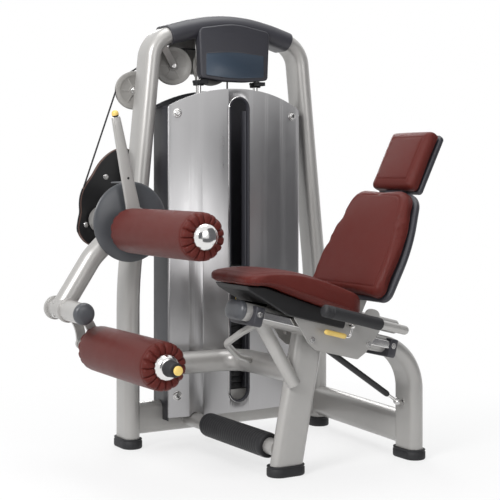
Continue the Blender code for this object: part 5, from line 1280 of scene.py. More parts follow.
def build_cable():
    outer, upper, stack, normal, level, ride = pulley_line()
    pulley("outer_wheel", outer, normal, "wheel_outer", "pulley_outer")
    pulley("upper_wheel", upper, normal, "wheel_upper", "pulley_upper")
    pulley("stack_wheel", stack, normal, "wheel_stack", "pulley_stack")

    tangent = Vector((-0.3645, CAM_Y, 0.8895))
    to_cam = tangent - outer
    in_plane = to_cam - normal * to_cam.dot(normal)
    leave = Matrix.Rotation(math.acos(ride / in_plane.length), 3, normal) @ in_plane.normalized()
    run = (upper - outer).normalized()
    up_outer = (Z - run * run.z).normalized()
    path = [tangent]
    path += ride_round(outer, normal, ride, leave, up_outer, 30)
    path += ride_round(upper, normal, ride, up_outer, Z, 10)
    path += ride_round(stack, normal, ride, Z, level, 30)
    drop = path[-1].copy()
    path.append(Vector((drop.x, drop.y, drop.z - 0.030)))
    with Piece("lift_cable", "rubber", "frame", "cable_main", angle=60) as bm:
        sweep(bm, circle(CABLE_RADIUS, 16), path, Y)
    top = PICKED_HIGH + STEM_TALL
    with Piece("lift_cable_drop", "rubber", "frame", "cable_drop", angle=60) as bm:
        bar(bm, (drop.x, drop.y, drop.z - 0.029), (drop.x, drop.y, top + 0.0003), CABLE_RADIUS, 16)
    with Piece("cable_end_fitting", "bolt_steel", "stack") as bm:
        turn(bm, [(0, 0.0035), (0, 0.0075), (0.018, 0.0070), (0.024, 0.0045), (0.024, 0.0032)],
             (TOWER_X, STACK_Y, top - 0.002), Z, 32)

    back = TOWER_Y + TUBE_WIDE / 2 + 0.0083
    outline = rounded([
        (upper.x - 0.030, upper.z - 0.025), (stack.x + 0.060, upper.z - 0.025),
        (stack.x + 0.060, 1.452), (upper.x + 0.010, 1.440),
    ], (0.012,) * 4)
    bm = bmesh.new()
    slab(bm, outline, back, back + 0.006)
    dress(soften(solid("head_plate", bm), 0.0010, 2), "frame_paint", "frame", "head_bracket")
    with Piece("pulley_axles", "bolt_steel", "frame") as bm:
        for centre in (upper, stack):
            bar(bm, centre - normal * 0.0165, centre + normal * ((back + 0.003 - centre.y) / normal.y), 0.008)
    end = upper - normal * 0.0185
    start = Vector((upper.x - 0.052, upper.y - 0.040, upper.z + 0.056))
    middle = start.lerp(end, 0.5)
    way = (end - start).normalized()
    across = way.cross(normal).normalized()
    wide = 0.022
    rings = []
    for side, long in ((-0.0028, 0.0), (-0.0015, 0.0008), (0.0015, 0.0008), (0.0028, 0.0)):
        oval = stadium((end - start).length + wide + 2 * long, wide + 2 * long)
        rings.append([middle + way * a + across * b + normal * side for a, b in oval])
    with Piece("pulley_strap", "frame_paint", "frame", angle=50) as bm:
        skin(bm, rings)
    with Piece("pulley_screws", "bolt_steel", "frame") as bm:
        cap_screw(bm, end - normal * 0.0028, -normal, 0.0058, 0.0034)
        hex_head(bm, outer - normal * 0.0085, -normal, 0.0085, 0.006)


# ---------------------------------------------------------------- knee axis

def round_knee(radius, angle, y):
    """A point at an angle round the knee axis."""
    a = math.radians(angle)
    return (AXIS.x + radius * math.cos(a), y, AXIS.z + radius * math.sin(a))


def cam_edge(shrink, depth):
    """The cam's edge, moved in by shrink, at a depth from the cam's middle plane."""
    points = []
    for k in range(180):
        angle = -90 + 360 * k / 180
        points.append(round_knee(smooth_line(CAM_EDGE, angle) - shrink, angle, CAM_Y + depth))
    return points


def build_knee():
    low, high = 0.318, 0.448
    long = high - low
    with Piece("knee_housing", "frame_paint", "frame", "axle_housing") as bm:
        turn(bm, [(0, 0.0208), (0, 0.043), (0.0012, 0.0452), (0.003, 0.046), (long - 0.003, 0.046),
                  (long - 0.0012, 0.0452), (long, 0.043), (long, 0.0208)], (AXIS.x, low, AXIS.z), Y, 64,
             closed=True)
        block(bm, (AXIS.x + 0.030, TOWER_Y - 0.030, AXIS.z - 0.075),
              (-0.212, TOWER_Y + 0.030, AXIS.z + 0.075))

    with Piece("cam_plate", "black_iron", "cam", "cam") as bm:
        half = 0.009
        section = ((-half, 0.0034), (-half, 0.0022), (-0.0082, 0.0016), (0.0082, 0.0016), (half, 0.0022),
                   (half, 0.0034))
        skin(bm, [cam_edge(shrink, depth) for depth, shrink in section])
        turn(bm, [(-0.013, 0.020), (-0.013, 0.036), (-0.010, 0.039), (0.010, 0.039), (0.013, 0.036),
                  (0.013, 0.020)],
             (AXIS.x, CAM_Y, AXIS.z), Y, 64)
    section = ((-half, 0.0022), (-half, 0.0), (-0.0050, 0.0), (-0.0042, 0.0014), (0.0042, 0.0014),
               (0.0050, 0.0), (half, 0.0), (half, 0.0022))
    edges = [cam_edge(shrink, depth) for depth, shrink in section]
    with Piece("cam_edge_lining", "cam_lining", "cam", slot=False) as bm:
        skin(bm, list(zip(*edges)), closed=True)
    with Piece("cam_cable_wrap", "rubber", "cam", angle=60) as bm:
        angles = [118 + 92 * k / 39 for k in range(40)]
        path = [round_knee(smooth_line(CAM_EDGE, angle) + 0.0012, angle, CAM_Y) for angle in angles]
        sweep(bm, circle(CABLE_RADIUS, 16), path, Y)
    with Piece("cam_bolts", "bolt_steel", "cam") as bm:
        for angle, radius in ((200, 0.050), (320, 0.062), (80, 0.150)):
            hex_head(bm, round_knee(radius, angle, CAM_Y - half), -Y, 0.0070)
        hex_head(bm, (AXIS.x, CAM_Y + 0.013, AXIS.z), Y, 0.016, 0.011)

    deep, wide = DOME_DEEP, DOME_RADIUS
    shape = [(0, 0.0), (0.0001, 0.014), (0.0003, 0.030), (0.0009, 0.050), (0.0019, 0.070), (0.0036, 0.090),
             (0.0058, 0.107), (0.0084, 0.1195), (0.0106, 0.1268), (0.0128, 0.1308), (0.0145, wide),
             (deep - 0.002, wide), (deep, 0.131), (deep, 0.1285), (0.0150, 0.1285), (0.0132, 0.1262),
             (0.0108, 0.1175), (0.0082, 0.104), (0.0062, 0.086), (0.0055, 0.060), (0.0055, 0.0)]
    bm = bmesh.new()
    turn(bm, shape, (AXIS.x, DOME_FRONT, AXIS.z), Y, 128)
    dome = solid("dome_shell", bm)
    window = [round_knee(0.2, angle, 0)[::2] for angle in range(-262, -39, 3)]
    window += [(AXIS.x + 0.02, AXIS.z - 0.02), (AXIS.x - 0.01, AXIS.z + 0.02)]
    cut(dome, "DIFFERENCE", slab, window, DOME_FRONT + 0.016, DOME_FRONT + deep + 0.02)
    shade(dome.data, 45)
    dress(dome, "grey_plastic", "frame", "dome_cover")
    with Piece("dome_boss", "grey_plastic", "frame") as bm:
        bar(bm, (AXIS.x, LEVER_Y + 0.0063, AXIS.z), (AXIS.x, DOME_FRONT + 0.004, AXIS.z), 0.026, 48, 0.001)


def cheek(bm, y):
    """A hooked side plate from the crossbar to the shin shaft, with a boss at each end."""
    ends = Vector((SHIN.x - BAR.x, SHIN.z - BAR.z))
    side = Vector((-ends.y, ends.x)).normalized()
    count = 24
    upper = []
    lower = []
    for k in range(count + 1):
        share = k / count
        middle = Vector((BAR.x, BAR.z)) + ends * share + side * (0.030 * math.sin(math.pi * share))
        half = 0.020 - 0.004 * math.sin(math.pi * share)
        upper.append(tuple(middle + side * half))
        lower.append(tuple(middle - side * half))
    slab(bm, lower + upper[::-1], y + 0.0004, y + 0.0096)
    turn(bm, [(0, 0.0375), (0.001, 0.039), (0.009, 0.039), (0.010, 0.0375)], (BAR.x, y, BAR.z), Y, 56)
    turn(bm, [(0, 0.0188), (0.001, 0.020), (0.009, 0.020), (0.010, 0.0188)], (SHIN.x, y, SHIN.z), Y, 48)


def build_arm():
    line = bent_path([
        (AXIS.x, ARM_Y, AXIS.z), (AXIS.x - 0.120, ARM_Y, AXIS.z - 0.115), (BAR.x, ARM_Y, BAR.z),
    ], (0.16,), math.radians(2))
    with Piece("curl_arm", "frame_paint", "arm", "movement_arm") as bm:
        sweep(bm, circle(0.035, 56), line, Y)
        bar(bm, (AXIS.x, ARM_Y - 0.038, AXIS.z), (AXIS.x, 0.315, AXIS.z), 0.050, 64, 0.003)
        bar(bm, (BAR.x, 0.074, BAR.z), (BAR.x, 0.1892, BAR.z), 0.033, 56)
        bar(bm, (BAR.x, 0.185, BAR.z), (BAR.x, 0.300, BAR.z), 0.0290, 48)
        bar(bm, (BAR.x, 0.2008, BAR.z), (BAR.x, 0.2952, BAR.z), 0.033, 56, 0.001)
        bar(bm, (BAR.x, 0.3068, BAR.z), (BAR.x, 0.310, BAR.z), 0.033, 56, 0.001)
    with Piece("knee_shaft", "bolt_steel", "arm") as bm:
        bar(bm, (AXIS.x, 0.310, AXIS.z), (AXIS.x, CAM_Y + 0.026, AXIS.z), 0.020, 48, 0.0015)
    domed_cap("crossbar_dome", circle(0.035, 56), (BAR.x, 0.0737, BAR.z), -Y, X, 0.020, "arm_end_cap", "arm")

    with Piece("shin_yoke", "frame_paint", "shin_bracket", "shin_bracket") as bm:
        cheek(bm, 0.190)
        cheek(bm, 0.296)
        bar(bm, (SHIN.x, SHIN_ENDS[0] - 0.010, SHIN.z), (SHIN.x, 0.300, SHIN.z), 0.016)

    low = SHIN_ENDS[0] - 0.0003
    with Piece("shin_cap", "chrome", "shin_bracket", "shin_hub", angle=50) as bm:
        turn(bm, [(0.0, 0.0163), (0.0, 0.0395), (-0.0012, 0.0402), (-0.004, 0.0395), (-0.010, 0.0370),
                  (-0.016, 0.0338), (-0.020, 0.0295), (-0.022, 0.0250), (-0.022, 0.0163)],
             (SHIN.x, low, SHIN.z), Y, 72)
    with Piece("shin_collar", "rubber", "shin_bracket", angle=50) as bm:
        turn(bm, [(-0.021, 0.012), (-0.021, 0.0240), (-0.023, 0.0248), (-0.026, 0.0242), (-0.058, 0.0218),
                  (-0.062, 0.0205), (-0.064, 0.0180), (-0.064, 0.0100), (-0.058, 0.0090)],
             (SHIN.x, low, SHIN.z), Y, 64)
    with Piece("shin_push_button", "yellow_plastic", "shin_push", "shin_button", angle=50) as bm:
        turn(bm, [(0, 0), (0.0002, 0.0060), (0.0008, 0.0100), (0.0022, 0.0128), (0.0045, 0.0139),
                  (0.009, 0.0140), (0.009, 0.0085), (0.060, 0.0085), (0.060, 0)],
             (SHIN.x, low - 0.0817, SHIN.z), Y, 56)
    with Piece("shin_yoke_bolts", "bolt_steel", "shin_bracket") as bm:
        out = Vector((-0.80, 0, -0.60))
        hex_head(bm, Vector((SHIN.x, 0.3062, SHIN.z)), Y, 0.0105, 0.008)
        hex_head(bm, Vector((BAR.x, 0.2475, BAR.z)) + out * 0.0325, out, 0.0065, 0.005)


def build_lever():
    tip = Vector((-0.382, LEVER_Y, 1.120))
    root = Vector((AXIS.x, LEVER_Y, AXIS.z))
    along = (tip - root).normalized()
    side = along.cross(Y)
    knots = ((0.06, 0.026, 0.006), (0.3, 0.023, 0.007), (0.6, 0.020, 0.0085), (0.9, 0.0165, 0.0085),
             (0.99, 0.0152, 0.0082), (1.0, 0.0138, 0.0070))
    with Piece("hold_down_lever", "frame_paint", "thigh_lever", "thigh_lever", angle=40) as bm:
        rings = []
        for share, half, thick in knots:
            middle = root.lerp(tip, share)
            rings.append([middle + side * a + Y * b for a, b in stadium(2 * half, 2 * thick, 14)])
        skin(bm, rings)
        bar(bm, (AXIS.x, 0.166, AXIS.z), (AXIS.x, 0.178, AXIS.z), 0.050, 72, 0.0015)
        bar(bm, (THIGH.x, 0.166, THIGH.z), (THIGH.x, 0.178, THIGH.z), 0.038, 56, 0.0015)
    with Piece("lever_push_button", "yellow_plastic", "lever_push", "lever_button", angle=50) as bm:
        turn(bm, [(-0.015, 0), (-0.015, 0.0055), (0.0045, 0.0055), (0.0045, 0.0108), (0.006, 0.0116),
                  (0.012, 0.0114), (0.016, 0.0104), (0.019, 0.0083), (0.021, 0.0052), (0.022, 0.0)],
             tip + along * 0.0003, along, 48)
    with Piece("lever_collar", "rubber", "thigh_lever") as bm:
        turn(bm, [(0, 0.0055), (0.0025, 0.0105), (0.0043, 0.0108), (0.0043, 0.0056)], tip, along, 40)
        cap_screw(bm, root.lerp(tip, 0.42) - Y * 0.0074, -Y, 0.0030, 0.0018)
    low = THIGH_ENDS[0]
    reach = LEVER_Y - 0.0003 - low
    with Piece("thigh_axle_cap", "chrome", "thigh_lever", "thigh_shaft", angle=50) as bm:
        cap = [(reach, 0), (reach, 0.016), (-0.0003, 0.016), (-0.0003, 0.0402), (-0.0020, 0.0404)]
        for k in range(1, 15):
            a = math.pi / 2 * k / 14
            cap.append((-0.002 - 0.025 * math.sin(a), 0.0404 * math.cos(a) ** 0.85))
        turn(bm, cap, (THIGH.x, low, THIGH.z), Y, 80)


# ---------------------------------------------------------------- rollers and cushions

def roller(name, centre, ends, pleats, body, cad_node):
    """A foam roller in vinyl leather: a smooth tube, gathered into puckered pleats at each end."""
    low, high = ends
    long = high - low
    segments = pleats * 18
    steps = [(0.012, 0.0170, 0.0), (0.0085, 0.0220, 0.2), (0.0060, 0.0290, 0.6), (0.0035, 0.0360, 1.0),
             (0.0012, 0.0420, 1.0), (0.0004, 0.0480, 1.0), (0.0008, 0.0540, 1.0), (0.0026, 0.0600, 1.0),
             (0.0060, 0.0652, 1.0), (0.0105, 0.0690, 0.85), (0.0150, 0.0708, 0.5), (0.0180, 0.0712, 0.2),
             (0.0196, 0.0704, 0.05), (0.0206, 0.0700, 0.0), (0.0216, 0.0706, 0.0), (0.0240, 0.0718, 0.0),
             (0.0290, 0.0724, 0.0), (0.0380, ROLLER_RADIUS, 0.0)]
    body_rings = [(0.038 + (long - 0.076) * k / 12, ROLLER_RADIUS + 0.0006 * math.sin(math.pi * k / 12), 0.0)
                  for k in range(1, 12)]
    profile = steps + body_rings + [(long - a, r, d) for a, r, d in reversed(steps)]
    rings = []
    for along, radius, depth in profile:
        ring = []
        for k in range(segments):
            angle = math.tau * k / segments
            near = along < long / 2
            jitter = noise.noise(Vector((math.cos(angle) * 2.2, math.sin(angle) * 2.2, 3.0 if near else 9.0)))
            phase = pleats * angle / 2 + 1.3 * jitter
            fold = (1 - abs(math.sin(phase))) ** 3
            puff = abs(math.sin(phase)) ** 0.6
            r = radius - 0.0046 * depth * fold + 0.0010 * depth * puff
            inward = (0.0060 * fold - 0.0014 * puff) * depth * (1 if near else -1)
            pucker = 0.0008 * depth * noise.noise(Vector((math.cos(angle) * 9, math.sin(angle) * 9,
                                                          radius * 160)))
            r = min(r + pucker, ROLLER_RADIUS + 0.0008)
            ring.append((centre.x + r * math.cos(angle), max(low, min(high, low + along + inward + pucker)),
                         centre.z + r * math.sin(angle)))
        rings.append(ring)
    bore = [(0.0165 * math.cos(math.tau * k / segments), 0.0165 * math.sin(math.tau * k / segments))
            for k in range(segments)]
    inner = [[(centre.x + a, y, centre.z + b) for a, b in bore] for y in (high - 0.012, low + 0.012)]
    bm = bmesh.new()
    skin(bm, rings + inner, closed=True)
    made = dress(solid(name, bm, 180), "red_leather", body, cad_node)


def cushion_solid(name, shape, place, crown, shrink):
    """The stuffing's shape before it is blown up: rounded rings from the base to the crowned face."""
    base = shape.ring(0.075)
    middle = sum((Vector(p) for p in base), Vector((0, 0))) / len(base)
    rings = []

    def top(points):
        rings.append([place(p, 1.0, crown * shape.fullness(p)) for p in points])

    for part in (0.12, 0.45, 0.75, 1.0):
        rings.append([place(tuple(middle + (Vector(p) - middle) * part), 0.0, 0.0) for p in base])
    for edge, share in ((0.040, 0.0), (0.010, 0.0), (0.002, 0.10), (0.0, 0.30), (0.0, 0.62), (0.003, 0.80),
                        (0.009, 0.93)):
        rings.append([place(p, share, 0.0) for p in shape.ring(edge + shrink)])
    rings.append([place(p, 0.985, 0.0) for p in shape.ring(0.018 + shrink)])
    for edge in (0.030, 0.040, 0.050, 0.062, 0.075):
        top(shape.ring(edge))
    for part in (0.8, 0.6, 0.4, 0.2, 0.06):
        top([tuple(middle + (Vector(p) - middle) * part) for p in base])
    bm = bmesh.new()
    skin(bm, rings)
    return solid(name, bm, 180)


def blow_up(obj, sizes):
    """Remeshes a cushion, fills it with air for twenty frames and caps how far each point moves."""
    remesh = obj.modifiers.new("remesh", "REMESH")
    remesh.mode = "VOXEL"
    remesh.voxel_size = CUSHION_VOXEL
    remesh.use_smooth_shade = True
    settle(obj, 180)
    rest = [v.co.copy() for v in obj.data.vertices]
    cloth = obj.modifiers.new("air", "CLOTH")
    cloth.settings.quality = 5
    cloth.settings.mass = 0.3
    cloth.settings.tension_stiffness = 30
    cloth.settings.compression_stiffness = 30
    cloth.settings.shear_stiffness = 15
    cloth.settings.bending_stiffness = 8
    cloth.settings.use_pressure = True
    cloth.settings.uniform_pressure_force = sizes.pressure
    cloth.settings.effector_weights.gravity = 0
    cloth.point_cache.frame_start = 1
    cloth.point_cache.frame_end = AIR_FRAMES
    scene = bpy.context.scene
    for number in range(1, AIR_FRAMES + 1):
        scene.frame_set(number)
    graph = bpy.context.evaluated_depsgraph_get()
    mesh = bpy.data.meshes.new_from_object(obj.evaluated_get(graph))
    obj.modifiers.clear()
    for vertex, start in zip(mesh.vertices, rest):
        move = vertex.co - start
        if move.length > sizes.swell:
            move *= sizes.swell / move.length
        vertex.co = start + move
    obj.data = mesh
    scene.frame_set(1)


def hold_shape(obj, source, limit_out, base_test):
    """Keeps a blown cushion near its drawn shape, and flat where it rests on its board."""
    tree = BVHTree.FromObject(source, bpy.context.evaluated_depsgraph_get())
    for vertex in obj.data.vertices:
        near, normal, _, _ = tree.find_nearest(vertex.co)
        if near is None:
            continue
        away = (vertex.co - near).dot(normal)
        if away > limit_out:
            vertex.co = vertex.co - normal * (away - limit_out)
        if base_test(near, normal) and away > 0:
            vertex.co = near
    bpy.data.objects.remove(source)
    smooth = obj.modifiers.new("smooth", "SMOOTH")
    smooth.factor = 0.5
    smooth.iterations = 4
    finer = obj.modifiers.new("finer", "SUBSURF")
    finer.levels = 1
    finer.render_levels = 1
    settle(obj, 180)


def sew(obj, line, step):
    """Sinks a groove along a seam line and lays a row of stitches beside it."""
    graph = bpy.context.evaluated_depsgraph_get()
    tree = BVHTree.FromObject(obj, graph)
    stitches = bmesh.new()
    grid = {}
    cell = 0.008
    for point, out in line:
        hit, normal, _, _ = tree.ray_cast(point + out * 0.03, -out, 0.08)
        if hit is not None:
            grid.setdefault(tuple(int(c // cell) for c in hit), []).append((hit, normal))
    near_cells = list(itertools.product((-1, 0, 1), repeat=3))
    for vertex in obj.data.vertices:
        key = tuple(int(c // cell) for c in vertex.co)
        best = None
        for shift in near_cells:
            for hit, normal in grid.get(tuple(a + b for a, b in zip(key, shift)), ()):
                far = (vertex.co - hit).length
                if best is None or far < best[0]:
                    best = (far, normal)
        if best and best[0] < 0.007:
            vertex.co -= best[1] * 0.0016 * math.exp(-(best[0] / 0.0028) ** 2)
    walked = 0.0
    laid = 0.0
    for (a, out_a), (b, _) in zip(line, line[1:]):
        far = (b - a).length
        while laid <= walked + far and far > 0:
            at = a.lerp(b, (laid - walked) / far)
            way = (b - a).normalized()
            hit, normal, _, _ = tree.ray_cast(at + out_a * 0.03, -out_a, 0.08)
            laid += step
            if hit is None:
                continue
            side = way.cross(normal).normalized()
            centre = hit + side * 0.0036 + normal * 0.0001
            rings = []
            for share, size in ((-0.36, 0.35), (-0.24, 0.9), (0.0, 1.05), (0.24, 0.9), (0.36, 0.35)):
                base = centre + way * step * share - normal * 0.0004 * (abs(share) / 0.36)
                rings.append([base + (side * p + normal * q) * 0.00042 * size for p, q in circle(1.0, 6)])
            skin(stitches, rings)
        walked += far
    return stitches


def seam_line(shape, edge, place, out):
    """Points along a pad's edge moved in, with the way out of the cushion at each."""
    line = [(Vector(place(p, 1.0, 0.01)), Vector(out)) for p in spread(shape.ring(edge), 0.003)]
    return line + [line[0]]


def build_cushions(sizes):
    seat_shape = PadShape(SEAT_CORNERS, (0.060, 0.060, 0.045, 0.045))

    def on_seat(point, share, rise):
        low = smooth_line(SEAT_LOW, point[0])
        high = smooth_line(SEAT_TOP, point[0])
        return (point[0], SEAT_Y + point[1], low + (high - low) * share + rise)

    back_shape = PadShape(BACK_CORNERS, BACK_RADII)

    def on_rest(point, share, rise):
        return on_back(PAD_THICK - PAD_THICK * share - rise, SEAT_Y + point[0], point[1])

    head_shape = PadShape(HEAD_CORNERS, HEAD_RADII)

    def on_head(point, share, rise):
        return on_back(0.022 + PAD_THICK - PAD_THICK * share - rise * 0.6, SEAT_Y + point[0], point[1])

    back_out = Matrix.Rotation(BACK_TILT, 3, "Y") @ Vector((-1, 0, 0))
    pads = (
        ("seat_cushion", seat_shape, on_seat, 0.010, "seat_pad", Z),
        ("back_cushion", back_shape, on_rest, 0.010, "backrest_pad", back_out),
        ("head_cushion", head_shape, on_head, 0.008, "headrest_pad", back_out),
    )
    for name, shape, place, crown, cad_node, out in pads:
        pad = cushion_solid(name, shape, place, crown, 0.0015)
        drawn = cushion_solid(name + "_drawn", shape, place, crown, 0.0)
        blow_up(pad, sizes)

        def on_board(_, normal, out=out):
            return normal.dot(out) < -0.75

        hold_shape(pad, drawn, 0.0022, on_board)
        stitches = sew(pad, seam_line(shape, sizes.seam, place, out), sizes.stitch)
        shade(pad.data, 180)
        dress(pad, "red_leather", "seat", cad_node)
        dress(solid(name + "_stitches", stitches, 180), "thread", "seat", slot=False)
        tree = BVHTree.FromObject(pad, bpy.context.evaluated_depsgraph_get())
        edge = spread(shape.ring(0.0005), 0.004)
        path = [tree.find_nearest(Vector(place(p, 0.16, 0.0)))[:2] for p in edge]
        rings = []
        for k, (point, normal) in enumerate(path):
            along = (path[(k + 1) % len(path)][0] - path[k - 1][0]).normalized()
            side = along.cross(normal).normalized()
            rings.append([point + (side * a + normal * b) * 0.0016 for a, b in circle(1.0, 8)])
        with Piece(name + "_piping", "red_leather", "seat", angle=180) as bm:
            skin(bm, rings, closed=True)


# ---------------------------------------------------------------- seat hardware

def build_shell():
    """The moulded shells behind the back and head pads, with the neck between them."""
    back_shape = PadShape(BACK_CORNERS, BACK_RADII, 12)
    head_shape = PadShape(HEAD_CORNERS, HEAD_RADII)
    with Piece("pad_shells", "dark_plastic", "seat", "back_shell", angle=50) as bm:
        for shape, front in ((back_shape, 0.0443), (head_shape, 0.0663)):
            rings = []
            for depth, edge in ((0.0, 0.0006), (0.0006, 0.0), (0.012, 0.0006), (0.0165, 0.003),
                                (0.0192, 0.007), (0.0210, 0.013), (0.0214, 0.020)):
                rings.append([on_back(front + depth, SEAT_Y + p[0], p[1]) for p in shape.ring(edge)])
            skin(bm, rings)
        block(bm, (0.048, SEAT_Y - 0.045, 0.312), (0.078, SEAT_Y + 0.045, 0.444), on_back)
    with Piece("shell_screws", "bolt_steel", "seat") as bm:
        out = Matrix.Rotation(BACK_TILT, 3, "Y") @ X
        for y, up in ((-0.15, 0.05), (0.15, 0.05), (-0.15, 0.20), (0.15, 0.20), (-0.11, 0.33), (0.11, 0.33)):
            cap_screw(bm, on_back(0.0655, SEAT_Y + y, up), out, 0.0055, 0.0030)
        for y in (-0.08, 0.08):
            for up in (0.42, 0.56):
                cap_screw(bm, on_back(0.0875, SEAT_Y + y, up), out, 0.0055, 0.0030)


def build_handles():
    """The handles' tubes and crossbar, and a ribbed grip on each."""
    along = (on_beam(1, 0, 0) - on_beam(0, 0, 0)).normalized()
    with Piece("handle_tubes", "frame_paint", "seat", "handle_bar", angle=50) as bm:
        for sign in (-1, 1):
            y = SEAT_Y + sign * HANDLE_OFF
            start = on_beam(0.1425, y, HANDLE_RISE)
            long = 0.4615 - 0.1425
            profile = [(0, 0.001), (0, 0.014)]
            for k in range(13):
                a = math.pi / 2 * k / 12
                profile.append((long - 0.014 * (1 - math.sin(a)), 0.014 * math.cos(a)))
            turn(bm, profile, start, along, 40)
        bar(bm, on_beam(0.385, SEAT_Y - HANDLE_OFF, HANDLE_RISE),
            on_beam(0.385, SEAT_Y + HANDLE_OFF, HANDLE_RISE), 0.0135, 40)
    for name, sign in (("near", -1), ("far", 1)):
        start = on_beam(0.137, SEAT_Y + sign * HANDLE_OFF, HANDLE_RISE)
        long = 0.218
        profile = [(0, 0.0), (0.0002, 0.006), (0.0010, 0.0115), (0.0032, 0.0158), (0.0062, 0.0180),
                   (0.0100, 0.0188)]
        for k in range(4):
            at = 0.014 + 0.0055 * k
            profile += [(at, 0.0190), (at + 0.0010, 0.0178), (at + 0.0022, 0.0178), (at + 0.0032, 0.0190)]
        profile += [(0.044, 0.0188), (0.10, 0.0182), (0.18, 0.0184), (long - 0.008, 0.0190),
                    (long - 0.003, 0.0186), (long - 0.0005, 0.0170), (long, 0.0150), (long, 0.0143),
                    (0.02, 0.0143), (0.02, 0.0)]
        with Piece(f"hand_grip_{name}", "rubber", "seat", f"grip_{name}", angle=50) as bm:
            turn(bm, profile, start, along, 56)


def build_lock():
    """The seat lock's bent rod with its pivot, and its grip."""
    y = SEAT_Y - 0.109
    top, low, pivot = 0.030, -0.006, 0.352
    line = bent_path([on_beam(pivot, y, top + 0.004), on_beam(pivot, y, low), on_beam(0.322, y, low)],
                     (0.010,))
    with Piece("lock_rod", "chrome", "lock", "lock_lever") as bm:
        sweep(bm, circle(0.004, 24), line, Y)
        bar(bm, on_beam(pivot, y - 0.006, top), on_beam(pivot, y + 0.0217, top), 0.007, 32, 0.001)
    rings = []
    for k in range(25):
        t = k / 24
        u = 0.253 + 0.086 * t
        edge = min(t, 1 - t) * 24
        size = min(1.0, math.sqrt(1 - (1 - min(edge / 3.0, 1.0)) ** 2)) if edge < 3.0 else 1.0
        size = max(size, 0.12) * (1 - 0.05 * math.sin(math.pi * t))
        rings.append([on_beam(u, y + a * size, low + b * size) for b, a in stadium(0.017, 0.0128, 10)])
    with Piece("lock_grip", "yellow_plastic", "lock", "lever_grip", angle=60) as bm:
        skin(bm, rings)


def build_strut():
    top, foot = STRUT_TOP, STRUT_FOOT
    along = (foot - top).normalized()
    with Piece("gas_cylinder", "black_iron", "strut_body", "strut_cylinder", angle=50) as bm:
        turn(bm, [(-0.012, 0), (-0.012, 0.005), (-0.010, 0.0075), (-0.006, 0.0096), (0.0, 0.010),
                  (0.340, 0.010), (0.346, 0.0094), (0.3505, 0.0080), (0.352, 0.0062), (0.352, 0.0053)], top,
             along, 40)
        bar(bm, top, (top.x, SEAT_Y - 0.080, top.z), 0.006, 28)
    with Piece("gas_rod", "chrome", "strut_rod", "strut_rod") as bm:
        bar(bm, top + along * 0.085, foot - along * 0.013, 0.005, 32)
    with Piece("gas_socket", "bolt_steel", "strut_rod", angle=50) as bm:
        turn(bm, [(-0.016, 0.0058), (-0.0145, 0.0095), (-0.011, 0.0112), (0.008, 0.0115), (0.011, 0.0105),
                  (0.011, 0.002)],
             foot, along, 48)


def build_rails():
    """Yokes at the rails' ends, and the bolts that hold them."""
    yokes = bmesh.new()
    bolts = bmesh.new()
    outer = TUBE_WIDE / 2 + 0.018
    outline = rounded([
        (SEAT_Y - outer, -0.038), (SEAT_Y + outer, -0.038), (SEAT_Y + outer, 0.022), (SEAT_Y - outer, 0.022),
    ], (0.012, 0.012, 0.004, 0.004))
    for u in (RAIL_ENDS[0] - 0.0303, RAIL_ENDS[1] + 0.0003):
        slab(yokes, outline, u, u + 0.030, "YZ", on_beam)
        for sign in (-1, 1):
            out = Y * sign
            centre = on_beam(u + 0.015, SEAT_Y + sign * (outer - 0.0004), 0.0)
            hex_head(bolts, centre, out, 0.0068, 0.0050)
    dress(soften(solid("rail_yokes", yokes), 0.0030, 3), "dark_plastic", "frame")
    for u, v, y_off in ((0.231, -0.038, 0.087), (0.445, -0.012, 0.087)):
        for sign in (-1, 1):
            hex_head(bolts, on_beam(u, SEAT_Y + sign * y_off, v), Y * sign, 0.0072, 0.0050)
    dress(solid("rail_bolts", bolts), "bolt_steel", "frame")


def soft_edges(names, width):
    """Rounds the edges of CAD nodes that stay, by modifiers alone."""
    for name in names:
        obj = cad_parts[name]
        joined = obj.modifiers.new("join", "WELD")
        joined.merge_threshold = 0.00002
        flats = obj.modifiers.new("flats", "DECIMATE")
        flats.decimate_type = "DISSOLVE"
        flats.angle_limit = math.radians(1.5)
        edges = obj.modifiers.new("edges", "BEVEL")
        edges.width = width
        edges.segments = 2
        edges.limit_method = "ANGLE"
        edges.angle_limit = math.radians(38)
        edges.harden_normals = False
        even = obj.modifiers.new("even", "WEIGHTED_NORMAL")
        even.keep_sharp = False


def finish_nodes():
    """Gives every CAD node, shown or not, the finish of its own slot."""
    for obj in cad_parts.values():
        for slot in obj.material_slots:
            name = slot.material.name.split(".")[0]
            slot.material = FINISH.get(name, slot.material)
    soft_edges(("carriage", "seat_pan", "rail_near", "rail_far"), 0.0012)


# ---------------------------------------------------------------- stage

